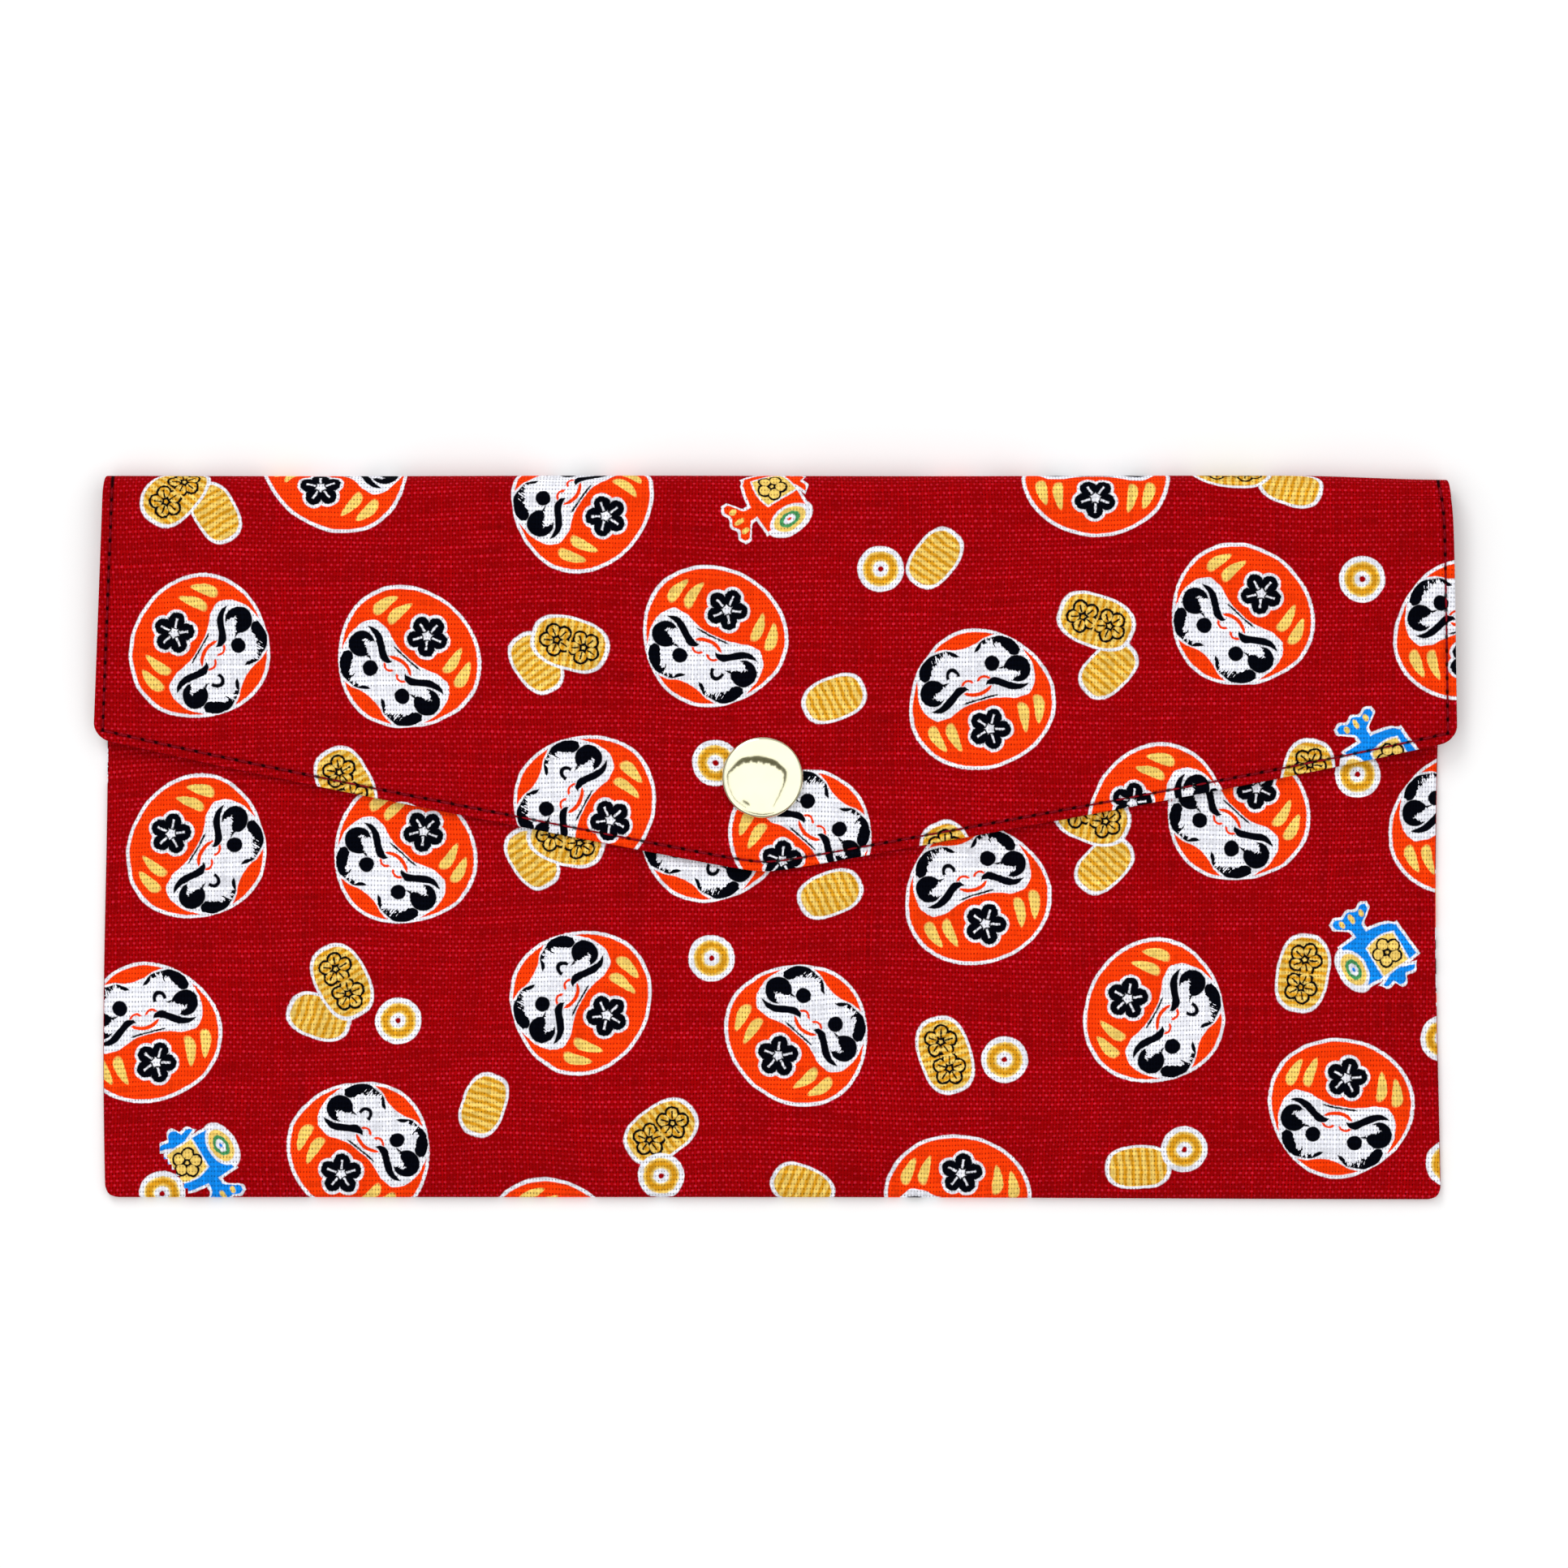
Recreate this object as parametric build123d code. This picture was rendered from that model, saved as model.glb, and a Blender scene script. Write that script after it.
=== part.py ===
"""Printed cotton envelope pouch with a fold-over flap and a spring snap.

The pouch lies on its back: +X runs across its width, +Y up towards the top fold, +Z out of
its front. The origin is the middle of the underside. Lengths are in millimetres.

One strip of outer cloth makes the flap, the back and the front, with a lining strip inside it
and a thin interfacing between the two. The strip is split at the top fold, where the flap
turns, so that the flap can be a body of its own.
"""

import os
from math import atan2, cos, degrees, hypot, radians, sin, tan

from build123d import *

# Pouch outline
body_width = 185.0
body_height = 100.0
flap_width_at_fold = 186.0
flap_width_at_corners = 188.4
flap_side_length = 35.5  # from the top fold to the flap's lower corners
flap_depth = 54.7  # from the top fold to the tip
flap_tip_x = -1.0
flap_corner_radius = 2.5
flap_tip_radius = 9.0
mouth_setback = 11.0  # from the top fold down to the pocket's mouth

# Cloth layers
outer_thickness = 0.40
interfacing_thickness = 0.15
lining_thickness = 0.20

# Pocket
pocket_gap = 4.10  # clear height between the linings
side_slope_run = 28.0
bottom_slope_run = 19.0
flap_clearance = 0.35  # between the front's cloth and the flap's lining
fold_slit = 0.10  # half of the slit between the two halves of the top fold

# Stitching
stitch_pitch = 1.9
stitch_length = 1.5
thread_width = 0.28
thread_height = 0.15
topstitch_inset = 1.15
mouth_stitch_inset = 2.0
seam_thread_size = 0.20
seam_stitch_pitch = 2.5
seam_stitch_length = 2.0

# Snap fastener
snap_x = -1.5
snap_depth = 41.8  # from the top fold to the snap's axis
cap_diameter = 11.3
cap_height = 1.5
cap_sheet = 0.30
cap_rim_height = 0.55
rivet_flange_radius = 4.2
rivet_flange_thickness = 0.35
barrel_radius = 1.5
barrel_bore_radius = 1.15
barrel_hole_clearance = 0.10
flare_radius = 2.3
flare_thickness = 0.30
socket_radius = 5.0
socket_sheet = 0.30
socket_height = 2.20
socket_mouth_radius = 2.35
spring_wire_radius = 0.18
spring_wire_length = 7.6
spring_clearance = 0.08
stud_flange_radius = 4.6
stud_sheet = 0.30
stud_gap = 0.20  # between the stud's flange and the socket's lip
stud_neck_radius = 1.6
stud_head_radius = 2.0
stud_neck_height = 1.00
stud_head_height = 0.65
post_radius = 1.0
post_bore_radius = 0.7
post_flange_radius = 4.2
post_flange_thickness = 0.30
post_flare_radius = 1.2
post_flare_thickness = 0.20
dish_rim_radius = 15.0
dish_margin = 0.6  # flat cloth around the stud's flange

# Places worked out from the sizes above
wall = outer_thickness + interfacing_thickness + lining_thickness
top_y = body_height / 2
bottom_y = -body_height / 2
mouth_y = top_y - mouth_setback
front_top_z = 2 * wall + pocket_gap
flap_bottom_z = front_top_z + flap_clearance
flap_top_z = flap_bottom_z + wall
hinge_z = flap_top_z / 2
fold_y = top_y - hinge_z
rim_x = body_width / 2 - wall
rim_y = bottom_y + wall
snap_y = top_y - snap_depth
socket_bottom_z = flap_bottom_z - socket_height
stud_flange_top_z = socket_bottom_z - stud_gap
dish_floor_z = stud_flange_top_z - stud_sheet
dish_depth = front_top_z - dish_floor_z
dish_floor_radius = stud_flange_radius + dish_margin

# Each wall's layers, from the face that shows inwards
OUTER = (0.0, outer_thickness)
INTERFACING = (outer_thickness, outer_thickness + interfacing_thickness)
LINING = (outer_thickness + interfacing_thickness, wall)


def across(sketch, width):
    """Carries a sketch drawn in Y and Z across the pouch, centred on X = 0."""
    return extrude(Plane.YZ * sketch, amount=width / 2, both=True)


def rectangle(low, high):
    """A rectangle between two corners of the sketch."""
    size = (high[0] - low[0], high[1] - low[1])
    middle = ((high[0] + low[0]) / 2, (high[1] + low[1]) / 2)
    return Pos(*middle) * Rectangle(*size)


def quarter_ring(centre, radii, upper, slit=0.0):
    """The quarter of a ring that lies outside and above, or outside and below, its centre."""
    large, small = max(radii), min(radii)
    ring = Pos(*centre) * (Circle(large) - Circle(small))
    if upper:
        window = rectangle((centre[0], centre[1] + slit), (centre[0] + large, centre[1] + large))
    else:
        window = rectangle((centre[0], centre[1] - large), (centre[0] + large, centre[1] - slit))
    return ring & window


def fold_radii(layer):
    """A layer's outer and inner radius round the top fold."""
    return hinge_z - layer[0], hinge_z - layer[1]


def back_layer(layer):
    """A layer of the back panel with its half of the top fold."""
    plate = rectangle((rim_y, layer[0]), (fold_y, layer[1]))
    fold = quarter_ring((fold_y, hinge_z), fold_radii(layer), upper=False, slit=fold_slit)
    return across(plate, 2 * rim_x) + across(fold, flap_width_at_fold)


def edge_wrap(upper, end_y):
    """The outer cloth's rounded edge along both sides and the bottom, above or below the seam."""
    section = quarter_ring((0, 0), (wall, wall - outer_thickness), upper)
    length = end_y - rim_y
    right = Pos(rim_x, rim_y, wall) * extrude(Plane.XZ * section, amount=-length)
    left = mirror(right, Plane.YZ)
    bottom = Pos(0, rim_y, wall) * across(mirror(section, Plane.YZ), 2 * rim_x)
    corner = revolve(Plane.XZ * section, Axis.Z, revolution_arc=90)
    right_corner = Pos(rim_x, rim_y, wall) * Rot(0, 0, -90) * corner
    left_corner = mirror(right_corner, Plane.YZ)
    return right + left + bottom + right_corner + left_corner


def under_front():
    """The space below the front panel's lining: a hipped roof with a dish under the snap."""
    reach = top_y  # the mouth is cut afterwards
    base = Plane.XY.offset(wall) * rectangle((-rim_x, rim_y), (rim_x, reach))
    flat_x, flat_y = rim_x - side_slope_run, rim_y + bottom_slope_run
    flat = Plane.XY.offset(wall + pocket_gap) * rectangle((-flat_x, flat_y), (flat_x, reach))
    roof = loft([base.face(), flat.face()], ruled=True)
    footing = extrude(base, amount=-2 * wall)
    slope = (dish_rim_radius - dish_floor_radius) / dish_depth
    height = dish_depth + 2 * wall
    dish = Cone(dish_floor_radius, dish_floor_radius + slope * height, height)
    dish_z = wall + pocket_gap - dish_depth + height / 2
    return roof + footing - Pos(snap_x, snap_y, dish_z) * dish


def front_layer(space, layer):
    """A layer of the front panel, with the hole for the snap's post."""
    top = Pos(0, 0, wall - layer[0]) * space
    bottom = Pos(0, 0, wall - layer[1]) * space
    beyond = Pos(0, mouth_y + body_height / 2, 0) * Box(
        2 * body_width, body_height, 4 * front_top_z
    )
    hole = Pos(snap_x, snap_y, front_top_z / 2) * Cylinder(
        post_radius + barrel_hole_clearance, 2 * front_top_z
    )
    return top - bottom - beyond - hole


def flap_outline():
    """The flap's flat outline, from the top fold's straight part down to the tip."""
    root = flap_width_at_fold / 2
    corner = flap_width_at_corners / 2
    corner_y = top_y - flap_side_length
    points = [
        (-root, fold_y),
        (-corner, corner_y),
        (flap_tip_x, top_y - flap_depth),
        (corner, corner_y),
        (root, fold_y),
    ]
    face = make_face(Polyline(*points, close=True))
    vertices = face.vertices().sort_by(Axis.Y)
    face = fillet(vertices[1:3], flap_corner_radius)
    tip = face.vertices().sort_by(Axis.Y)[0]
    return fillet(tip, flap_tip_radius)


def flap_layer(layer):
    """A layer of the flap with its half of the top fold and the hole for the cap's barrel."""
    thickness = layer[1] - layer[0]
    plate = extrude(Plane.XY.offset(flap_top_z - layer[1]) * flap_outline(), amount=thickness)
    fold = quarter_ring((fold_y, hinge_z), fold_radii(layer), upper=True, slit=fold_slit)
    hole = Pos(snap_x, snap_y, flap_top_z) * Cylinder(
        barrel_radius + barrel_hole_clearance, 4 * wall
    )
    return plate + across(fold, flap_width_at_fold) - hole


def stitches(start, end, z, size, pitch, length):
    """A row of stitches between two points of the plan, each a bar that stands on height z."""
    run = hypot(end[0] - start[0], end[1] - start[1])
    angle = degrees(atan2(end[1] - start[1], end[0] - start[0]))
    count = int(run // pitch)
    bars = []
    for i in range(count):
        share = (i + 0.5) / count
        x = start[0] + share * (end[0] - start[0])
        y = start[1] + share * (end[1] - start[1])
        bar = Box(length, size[0], size[1], align=(Align.CENTER, Align.CENTER, Align.MIN))
        bars.append(Pos(x, y, z) * Rot(0, 0, angle) * bar)
    return bars


def flap_stitches(z):
    """Stitches along the flap's sides and its V, inside the edge by the topstitch inset."""
    root = flap_width_at_fold / 2 - topstitch_inset
    corner = flap_width_at_corners / 2 - topstitch_inset
    slope = (flap_depth - flap_side_length) / (flap_width_at_corners / 2)
    rise = topstitch_inset / cos(atan2(slope, 1))
    corner_y = top_y - flap_side_length + rise
    tip = (flap_tip_x, top_y - flap_depth + rise)
    rows = [
        ((-root, fold_y), (-corner, corner_y)),
        ((-corner, corner_y), tip),
        (tip, (corner, corner_y)),
        ((corner, corner_y), (root, fold_y)),
    ]
    size = (thread_width, thread_height)
    bars = []
    for start, end in rows:
        bars += stitches(start, end, z, size, stitch_pitch, stitch_length)
    return Compound(bars)


def mouth_stitches(above):
    """Stitches along the pocket's mouth, on the front's cloth or under its lining."""
    y = mouth_y - mouth_stitch_inset
    flat = rim_x - side_slope_run
    tilt = degrees(atan2(pocket_gap, side_slope_run))
    if above:
        z, lift = front_top_z, 0.0
    else:
        z, lift = front_top_z - wall - thread_height, -thread_height
    size = (thread_width, thread_height)
    bars = stitches((-flat, y), (flat, y), z, size, stitch_pitch, stitch_length)
    slope_length = hypot(pocket_gap, side_slope_run) - 2 * stitch_pitch
    base = Box(stitch_length, *size, align=(Align.CENTER, Align.CENTER, Align.MIN))
    drop = 0.0 if above else wall
    for i in range(int(slope_length // stitch_pitch)):
        along = (i + 1) * stitch_pitch
        x = flat + along * cos(radians(tilt))
        surface_z = front_top_z - drop - along * sin(radians(tilt))
        right = Pos(x, y, surface_z) * Rot(0, tilt, 0) * Pos(0, 0, lift) * base
        bars += [right, mirror(right, Plane.YZ)]
    return Compound(bars)


def side_seam_stitches(side):
    """The seam's thread along one side, inside the rounded edge."""
    x = side * (rim_x + (wall - outer_thickness) / 2)
    size = (seam_thread_size, seam_thread_size)
    z = wall - seam_thread_size / 2
    bars = stitches((x, rim_y), (x, mouth_y), z, size, seam_stitch_pitch, seam_stitch_length)
    return Compound(bars)


def turned(*points):
    """A closed profile in radius and height, turned about the snap's axis."""
    face = make_face(Plane.XZ * Polyline(*points, close=True))
    return Pos(snap_x, snap_y, 0) * revolve(face, Axis.Z)


def dome(radius, height, sphere_radius, crown):
    """A round slug below a crown, rounded by a sphere, with its base height below the crown."""
    slug = Pos(0, 0, crown - height / 2) * Cylinder(radius, height)
    return slug & Pos(0, 0, crown - sphere_radius) * Sphere(sphere_radius)


def snap_cap():
    """The domed cap, with its rim turned under the rivet's flange."""
    radius = cap_diameter / 2
    rise = cap_height - cap_rim_height
    sphere_radius = (radius**2 + rise**2) / (2 * rise)
    outside = dome(radius, cap_height, sphere_radius, cap_height)
    outside = chamfer(outside.edges().sort_by(Axis.Z)[0], cap_sheet / 2)
    hollow = dome(
        radius - cap_sheet,
        cap_height - cap_sheet - rivet_flange_thickness,
        sphere_radius - cap_sheet,
        cap_height - cap_sheet,
    )
    lip = Cylinder(rivet_flange_radius, 2 * rivet_flange_thickness)
    return Pos(snap_x, snap_y, flap_top_z) * (outside - hollow - lip)


def cap_rivet():
    """The rivet inside the cap: its barrel goes through the flap and flares in the socket."""
    base = flap_top_z
    top = base + rivet_flange_thickness
    seat = flap_bottom_z - socket_sheet
    return turned(
        (0, top),
        (rivet_flange_radius, top),
        (rivet_flange_radius, base),
        (barrel_radius, base),
        (barrel_radius, seat),
        (flare_radius, seat - flare_thickness / 2),
        (flare_radius - flare_thickness / 2, seat - flare_thickness),
        (barrel_bore_radius, seat),
        (barrel_bore_radius, base),
        (0, base),
    )


def snap_socket():
    """The socket under the flap: a plate, a wall and a lip round the stud's way in."""
    top, bottom = flap_bottom_z, socket_bottom_z
    hole = barrel_radius + barrel_hole_clearance / 2
    inner = socket_radius - socket_sheet
    return turned(
        (hole, top),
        (socket_radius, top),
        (socket_radius, bottom),
        (socket_mouth_radius, bottom),
        (socket_mouth_radius, bottom + socket_sheet),
        (inner, bottom + socket_sheet),
        (inner, top - socket_sheet),
        (hole, top - socket_sheet),
    )


def snap_spring():
    """Two straight spring wires that grip the stud's neck from either side."""
    x = stud_neck_radius + spring_clearance + spring_wire_radius
    z = socket_bottom_z + socket_sheet + spring_clearance + spring_wire_radius
    wire = Rot(90, 0, 0) * Cylinder(spring_wire_radius, spring_wire_length)
    centre = Pos(snap_x, snap_y, z)
    return Compound([centre * Pos(side * x, 0, 0) * wire for side in (-1, 1)])


def snap_stud():
    """The stud on the front: a flange, a neck and a wider head, all one pressed sheet."""
    seat = dish_floor_z
    neck = stud_flange_top_z + stud_neck_height
    head = neck + stud_head_height
    chamfer = 0.2
    inside = stud_neck_radius - stud_sheet
    hole = post_radius + barrel_hole_clearance / 2
    return turned(
        (hole, seat),
        (stud_flange_radius, seat),
        (stud_flange_radius, seat + stud_sheet),
        (stud_neck_radius, seat + stud_sheet),
        (stud_neck_radius, neck),
        (stud_head_radius, neck + chamfer),
        (stud_head_radius, head - chamfer),
        (stud_head_radius - chamfer, head),
        (inside, head),
        (inside, seat + stud_sheet),
        (hole, seat + stud_sheet),
    )


def stud_post():
    """The post behind the stud: it comes up through the front and flares in the stud."""
    under = dish_floor_z - wall
    seat = dish_floor_z + stud_sheet
    tip = seat + post_flare_thickness
    return turned(
        (0, under - post_flange_thickness),
        (post_flange_radius, under - post_flange_thickness),
        (post_flange_radius, under),
        (post_radius, under),
        (post_radius, seat),
        (post_flare_radius, seat),
        (post_flare_radius, tip),
        (post_bore_radius, tip),
        (post_bore_radius, under),
        (0, under),
    )


def pouch():
    """Every node of the pouch, by name."""
    space = under_front()
    return {
        "back_outer_cloth": back_layer(OUTER) + edge_wrap(False, fold_y),
        "back_interfacing": back_layer(INTERFACING),
        "back_lining": back_layer(LINING),
        "front_outer_cloth": front_layer(space, OUTER) + edge_wrap(True, mouth_y),
        "front_interfacing": front_layer(space, INTERFACING),
        "front_lining": front_layer(space, LINING),
        "left_seam_thread": side_seam_stitches(-1),
        "right_seam_thread": side_seam_stitches(1),
        "mouth_topstitch": mouth_stitches(above=True),
        "mouth_bobbin_thread": mouth_stitches(above=False),
        "flap_outer_cloth": flap_layer(OUTER),
        "flap_interfacing": flap_layer(INTERFACING),
        "flap_lining": flap_layer(LINING),
        "flap_topstitch": flap_stitches(flap_top_z),
        "flap_bobbin_thread": flap_stitches(flap_bottom_z - thread_height),
        "snap_cap": snap_cap(),
        "cap_rivet": cap_rivet(),
        "snap_socket": snap_socket(),
        "snap_spring": snap_spring(),
        "snap_stud": snap_stud(),
        "stud_post": stud_post(),
    }


if __name__ == "__main__":
    os.makedirs("parts", exist_ok=True)
    for name, shape in pouch().items():
        export_step(shape, f"parts/{name}.step")
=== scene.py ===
"""A printed cotton envelope pouch with a fold-over flap and a domed snap.

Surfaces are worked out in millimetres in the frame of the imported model, with +X across the
pouch, +Y up towards the top fold and +Z out of its front, and are scaled to metres as they
become meshes. "Depth" is the distance down from the top fold.
"""

import math

import bmesh
import bpy
import numpy as np
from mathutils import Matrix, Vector


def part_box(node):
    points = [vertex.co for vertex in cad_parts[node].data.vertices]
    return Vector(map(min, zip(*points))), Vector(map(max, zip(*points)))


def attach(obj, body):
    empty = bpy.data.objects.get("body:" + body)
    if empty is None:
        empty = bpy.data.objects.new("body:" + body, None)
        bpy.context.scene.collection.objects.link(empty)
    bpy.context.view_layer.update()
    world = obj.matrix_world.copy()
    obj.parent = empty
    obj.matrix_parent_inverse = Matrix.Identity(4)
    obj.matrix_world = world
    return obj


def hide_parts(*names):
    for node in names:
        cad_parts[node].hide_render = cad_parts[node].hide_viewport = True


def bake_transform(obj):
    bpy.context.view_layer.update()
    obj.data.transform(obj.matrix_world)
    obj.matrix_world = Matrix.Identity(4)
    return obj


bl_info = {
    "name": "Printed Envelope Pouch",
    "version": (1, 0, 0),
    "blender": (4, 5, 0),
    "location": "3D View > Sidebar > Pouch",
    "description": "Builds a printed cotton envelope pouch with a flap and a snap",
    "category": "Add Mesh",
}

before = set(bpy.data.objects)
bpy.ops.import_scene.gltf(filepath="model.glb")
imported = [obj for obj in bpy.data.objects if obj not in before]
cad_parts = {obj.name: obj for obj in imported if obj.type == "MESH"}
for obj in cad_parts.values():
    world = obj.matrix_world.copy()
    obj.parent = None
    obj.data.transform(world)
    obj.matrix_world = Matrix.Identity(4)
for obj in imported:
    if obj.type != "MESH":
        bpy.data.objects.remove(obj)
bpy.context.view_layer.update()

MM = 0.001

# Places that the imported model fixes, in millimetres
FLAP_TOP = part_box("flap_outer_cloth")[1].z / MM
TOP_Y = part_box("back_outer_cloth")[1].y / MM
BOTTOM_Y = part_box("back_outer_cloth")[0].y / MM
FRONT_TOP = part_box("front_outer_cloth")[1].z / MM
MOUTH_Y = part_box("front_outer_cloth")[1].y / MM
CAP_LOW, CAP_HIGH = (np.array(corner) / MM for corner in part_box("snap_cap"))
SNAP_X, SNAP_Y = (CAP_LOW[:2] + CAP_HIGH[:2]) / 2
SOCKET_LOW, SOCKET_HIGH = (np.array(corner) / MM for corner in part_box("snap_socket"))
STUD_LOW, STUD_HIGH = (np.array(corner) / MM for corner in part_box("snap_stud"))
BODY_HALF = (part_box("front_outer_cloth")[1].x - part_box("front_outer_cloth")[0].x) / 2 / MM
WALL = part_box("back_lining")[0].z / MM + 0.2  # reaches the top of the back's lining

FLAP_HALF = 93.5  # half the flap's width, before its sides are shaped
EDGE_LEAN = 0.2  # how far the flap's lower edge leans from level, in radians
MOUTH_STITCH_Y = MOUTH_Y - 2.0
FAR_FROM_STITCHES = 9.0

# The top fold's half circle, walked from the flap down to the table.
FOLD_TURNS = np.linspace(0, 1, 17)  # shares of the top fold's half circle

# The print's layout, in millimetres right of the middle and down from the top fold, with each
# figure's turn clockwise in degrees and its kind.
REPEAT_ACROSS, REPEAT_DOWN = 200.6, 86.6
OPEN_EYES, WINKS_LEFT, WINKS_RIGHT = 0, -1, 1
DOLLS = [
    (-79.1, 24.0, 120, WINKS_RIGHT),
    (-50.7, 25.5, 222, OPEN_EYES),
    (-8.4, 22.5, 207, WINKS_LEFT),
    (28.6, 30.9, -17, WINKS_LEFT),
    (64.5, 19.6, 222, OPEN_EYES),
    (95.8, 21.4, -8, OPEN_EYES),
    (-60.2, -2.1, 33, OPEN_EYES),
    (44.6, -1.2, 2, WINKS_RIGHT),
    (-26.3, 45.6, 299, WINKS_RIGHT),
    (4.1, 50.1, 42, OPEN_EYES),
    (53.4, 47.4, 118, WINKS_LEFT),
    (79.0, 60.7, 192, OPEN_EYES),
    (-56.5, 66.2, 41, WINKS_LEFT),
    (-86.1, 49.2, -15, WINKS_RIGHT),
    (26.0, 74.0, 188, OPEN_EYES),
]
# These two come only once in two repeats.
RARE_DOLLS = [(-26.7, 3.2, 305, OPEN_EYES), (-30.5, 80.5, 225, OPEN_EYES)]
STAMPED_COINS = [
    (-82.7, 2.2, -50, 1),
    (-28.1, 23.3, 17, 1),
    (44.6, 20.2, 20, 1),
    (-59.1, 42.8, -117, 1),
    (73.8, 41.9, -80, 1),
    (24.3, 53.2, -108, 1),
    (-15.0, 63.8, -36, 1),
    (63.5, -2.0, 8, 1),
]
PLAIN_COINS = [
    (-77.2, 5.1, -119, 0),
    (-32.8, 26.0, 56, 0),
    (22.3, 11.5, -52, 0),
    (8.4, 30.9, -22, 0),
    (46.3, 26.9, -45, 0),
    (71.5, 1.2, 18, 0),
    (-62.3, 47.6, 21, 0),
    (-39.5, 60.1, -69, 0),
    (4.6, 71.6, 25, 0),
    (51.1, 68.8, -3, 0),
]
ROUND_COIN, RED_MALLET, BLUE_MALLET = 0, 1, 2
ROUND_FIGURES = [
    (14.8, 13.0, 0, ROUND_COIN),
    (81.4, 14.4, 0, ROUND_COIN),
    (-51.3, 48.4, 0, ROUND_COIN),
    (-8.0, 39.8, 0, ROUND_COIN),
    (32.5, 53.8, 0, ROUND_COIN),
    (-15.0, 70.0, 0, ROUND_COIN),
    (57.4, 66.3, 0, ROUND_COIN),
    (-84.2, 71.7, 0, ROUND_COIN),
    (93.4, 51.0, 0, ROUND_COIN),
    (94.2, 68.3, 0, ROUND_COIN),
    (-1.0, 3.2, 56, RED_MALLET),
    (83.8, 38.2, -213, BLUE_MALLET),
    (-78.9, 68.3, -32, BLUE_MALLET),
]


# ---------------------------------------------------------------------------------------------
# Settings


class PouchClothSettings(bpy.types.PropertyGroup):
    """Sizes of the cloth and its stitching."""

    outer: bpy.props.FloatProperty(
        name="Outer cloth",
        description="Thickness of the printed cotton",
        default=0.0004,
        unit="LENGTH",
        precision=5,
    )
    interfacing: bpy.props.FloatProperty(
        name="Interfacing",
        description="Thickness of the non-woven layer",
        default=0.00015,
        unit="LENGTH",
        precision=5,
    )
    lining: bpy.props.FloatProperty(
        name="Lining",
        description="Thickness of the lining cotton",
        default=0.0002,
        unit="LENGTH",
        precision=5,
    )
    stitch: bpy.props.FloatProperty(
        name="Stitch pitch",
        description="Length of one stitch of the topstitching",
        default=0.0019,
        unit="LENGTH",
        precision=5,
    )
    stitch_inset: bpy.props.FloatProperty(
        name="Stitch inset",
        description="Distance of the topstitching from the flap's edge",
        default=0.00132,
        unit="LENGTH",
        precision=5,
    )
    thread: bpy.props.FloatProperty(
        name="Thread",
        description="Thickness of the sewing thread",
        default=0.00026,
        unit="LENGTH",
        precision=5,
    )
    warp: bpy.props.FloatProperty(
        name="Warp pitch",
        description="Distance between two yarns that run down the printed cotton",
        default=0.00043,
        unit="LENGTH",
        precision=5,
    )
    weft: bpy.props.FloatProperty(
        name="Weft pitch",
        description="Distance between two yarns that run across the printed cotton",
        default=0.00065,
        unit="LENGTH",
        precision=5,
    )


class PouchPrintSettings(bpy.types.PropertyGroup):
    """Colours of the print."""

    ground: bpy.props.FloatVectorProperty(
        name="Ground",
        description="Crimson ground of the print",
        default=(0.335, 0.0003, 0.0016),
        subtype="COLOR",
    )
    doll: bpy.props.FloatVectorProperty(
        name="Doll", description="Body of the dolls", default=(0.95, 0.045, 0.002), subtype="COLOR"
    )
    white: bpy.props.FloatVectorProperty(
        name="White", description="Faces and outlines", default=(0.84, 0.85, 0.92), subtype="COLOR"
    )
    black: bpy.props.FloatVectorProperty(
        name="Black", description="Brush marks", default=(0.001, 0.0015, 0.004), subtype="COLOR"
    )
    straw: bpy.props.FloatVectorProperty(
        name="Straw", description="Pale gold of the coins", default=(0.88, 0.60, 0.14), subtype="COLOR"
    )
    ochre: bpy.props.FloatVectorProperty(
        name="Ochre", description="Deep gold of the coins", default=(0.68, 0.31, 0.012), subtype="COLOR"
    )
    blue: bpy.props.FloatVectorProperty(
        name="Blue", description="Blue mallets", default=(0.006, 0.25, 0.85), subtype="COLOR"
    )
    green: bpy.props.FloatVectorProperty(
        name="Green", description="Ring on the mallets", default=(0.06, 0.30, 0.10), subtype="COLOR"
    )


class PouchSnapSettings(bpy.types.PropertyGroup):
    """Finish and sizes of the snap."""

    gilt: bpy.props.FloatVectorProperty(
        name="Gilt",
        description="Colour of the plating",
        default=(0.93, 0.90, 0.64),
        subtype="COLOR",
    )
    sheet: bpy.props.FloatProperty(
        name="Sheet",
        description="Thickness of the pressed brass",
        default=0.0003,
        unit="LENGTH",
        precision=5,
    )
    wire: bpy.props.FloatProperty(
        name="Spring wire",
        description="Diameter of the spring wire",
        default=0.00036,
        unit="LENGTH",
        precision=5,
    )


class PouchStageSettings(bpy.types.PropertyGroup):
    """Camera and its view."""

    camera_height: bpy.props.FloatProperty(
        name="Camera height",
        description="Height of the camera above the table",
        default=1.4,
        unit="LENGTH",
    )
    view_width: bpy.props.FloatProperty(
        name="View width",
        description="Width of the table that the camera takes in",
        default=0.2166,
        unit="LENGTH",
    )
    view_x: bpy.props.FloatProperty(
        name="View across",
        description="Middle of the view, across",
        default=0.00146,
        unit="LENGTH",
        precision=5,
    )
    view_y: bpy.props.FloatProperty(
        name="View up",
        description="Middle of the view, up",
        default=0.00729,
        unit="LENGTH",
        precision=5,
    )


# ---------------------------------------------------------------------------------------------
# Curves and surfaces


def smooth(t):
    """Rises from 0 to 1 as t does, level at both ends: 3t^2 - 2t^3."""
    t = np.clip(t, 0, 1)
    return t * t * (3 - 2 * t)


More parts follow.
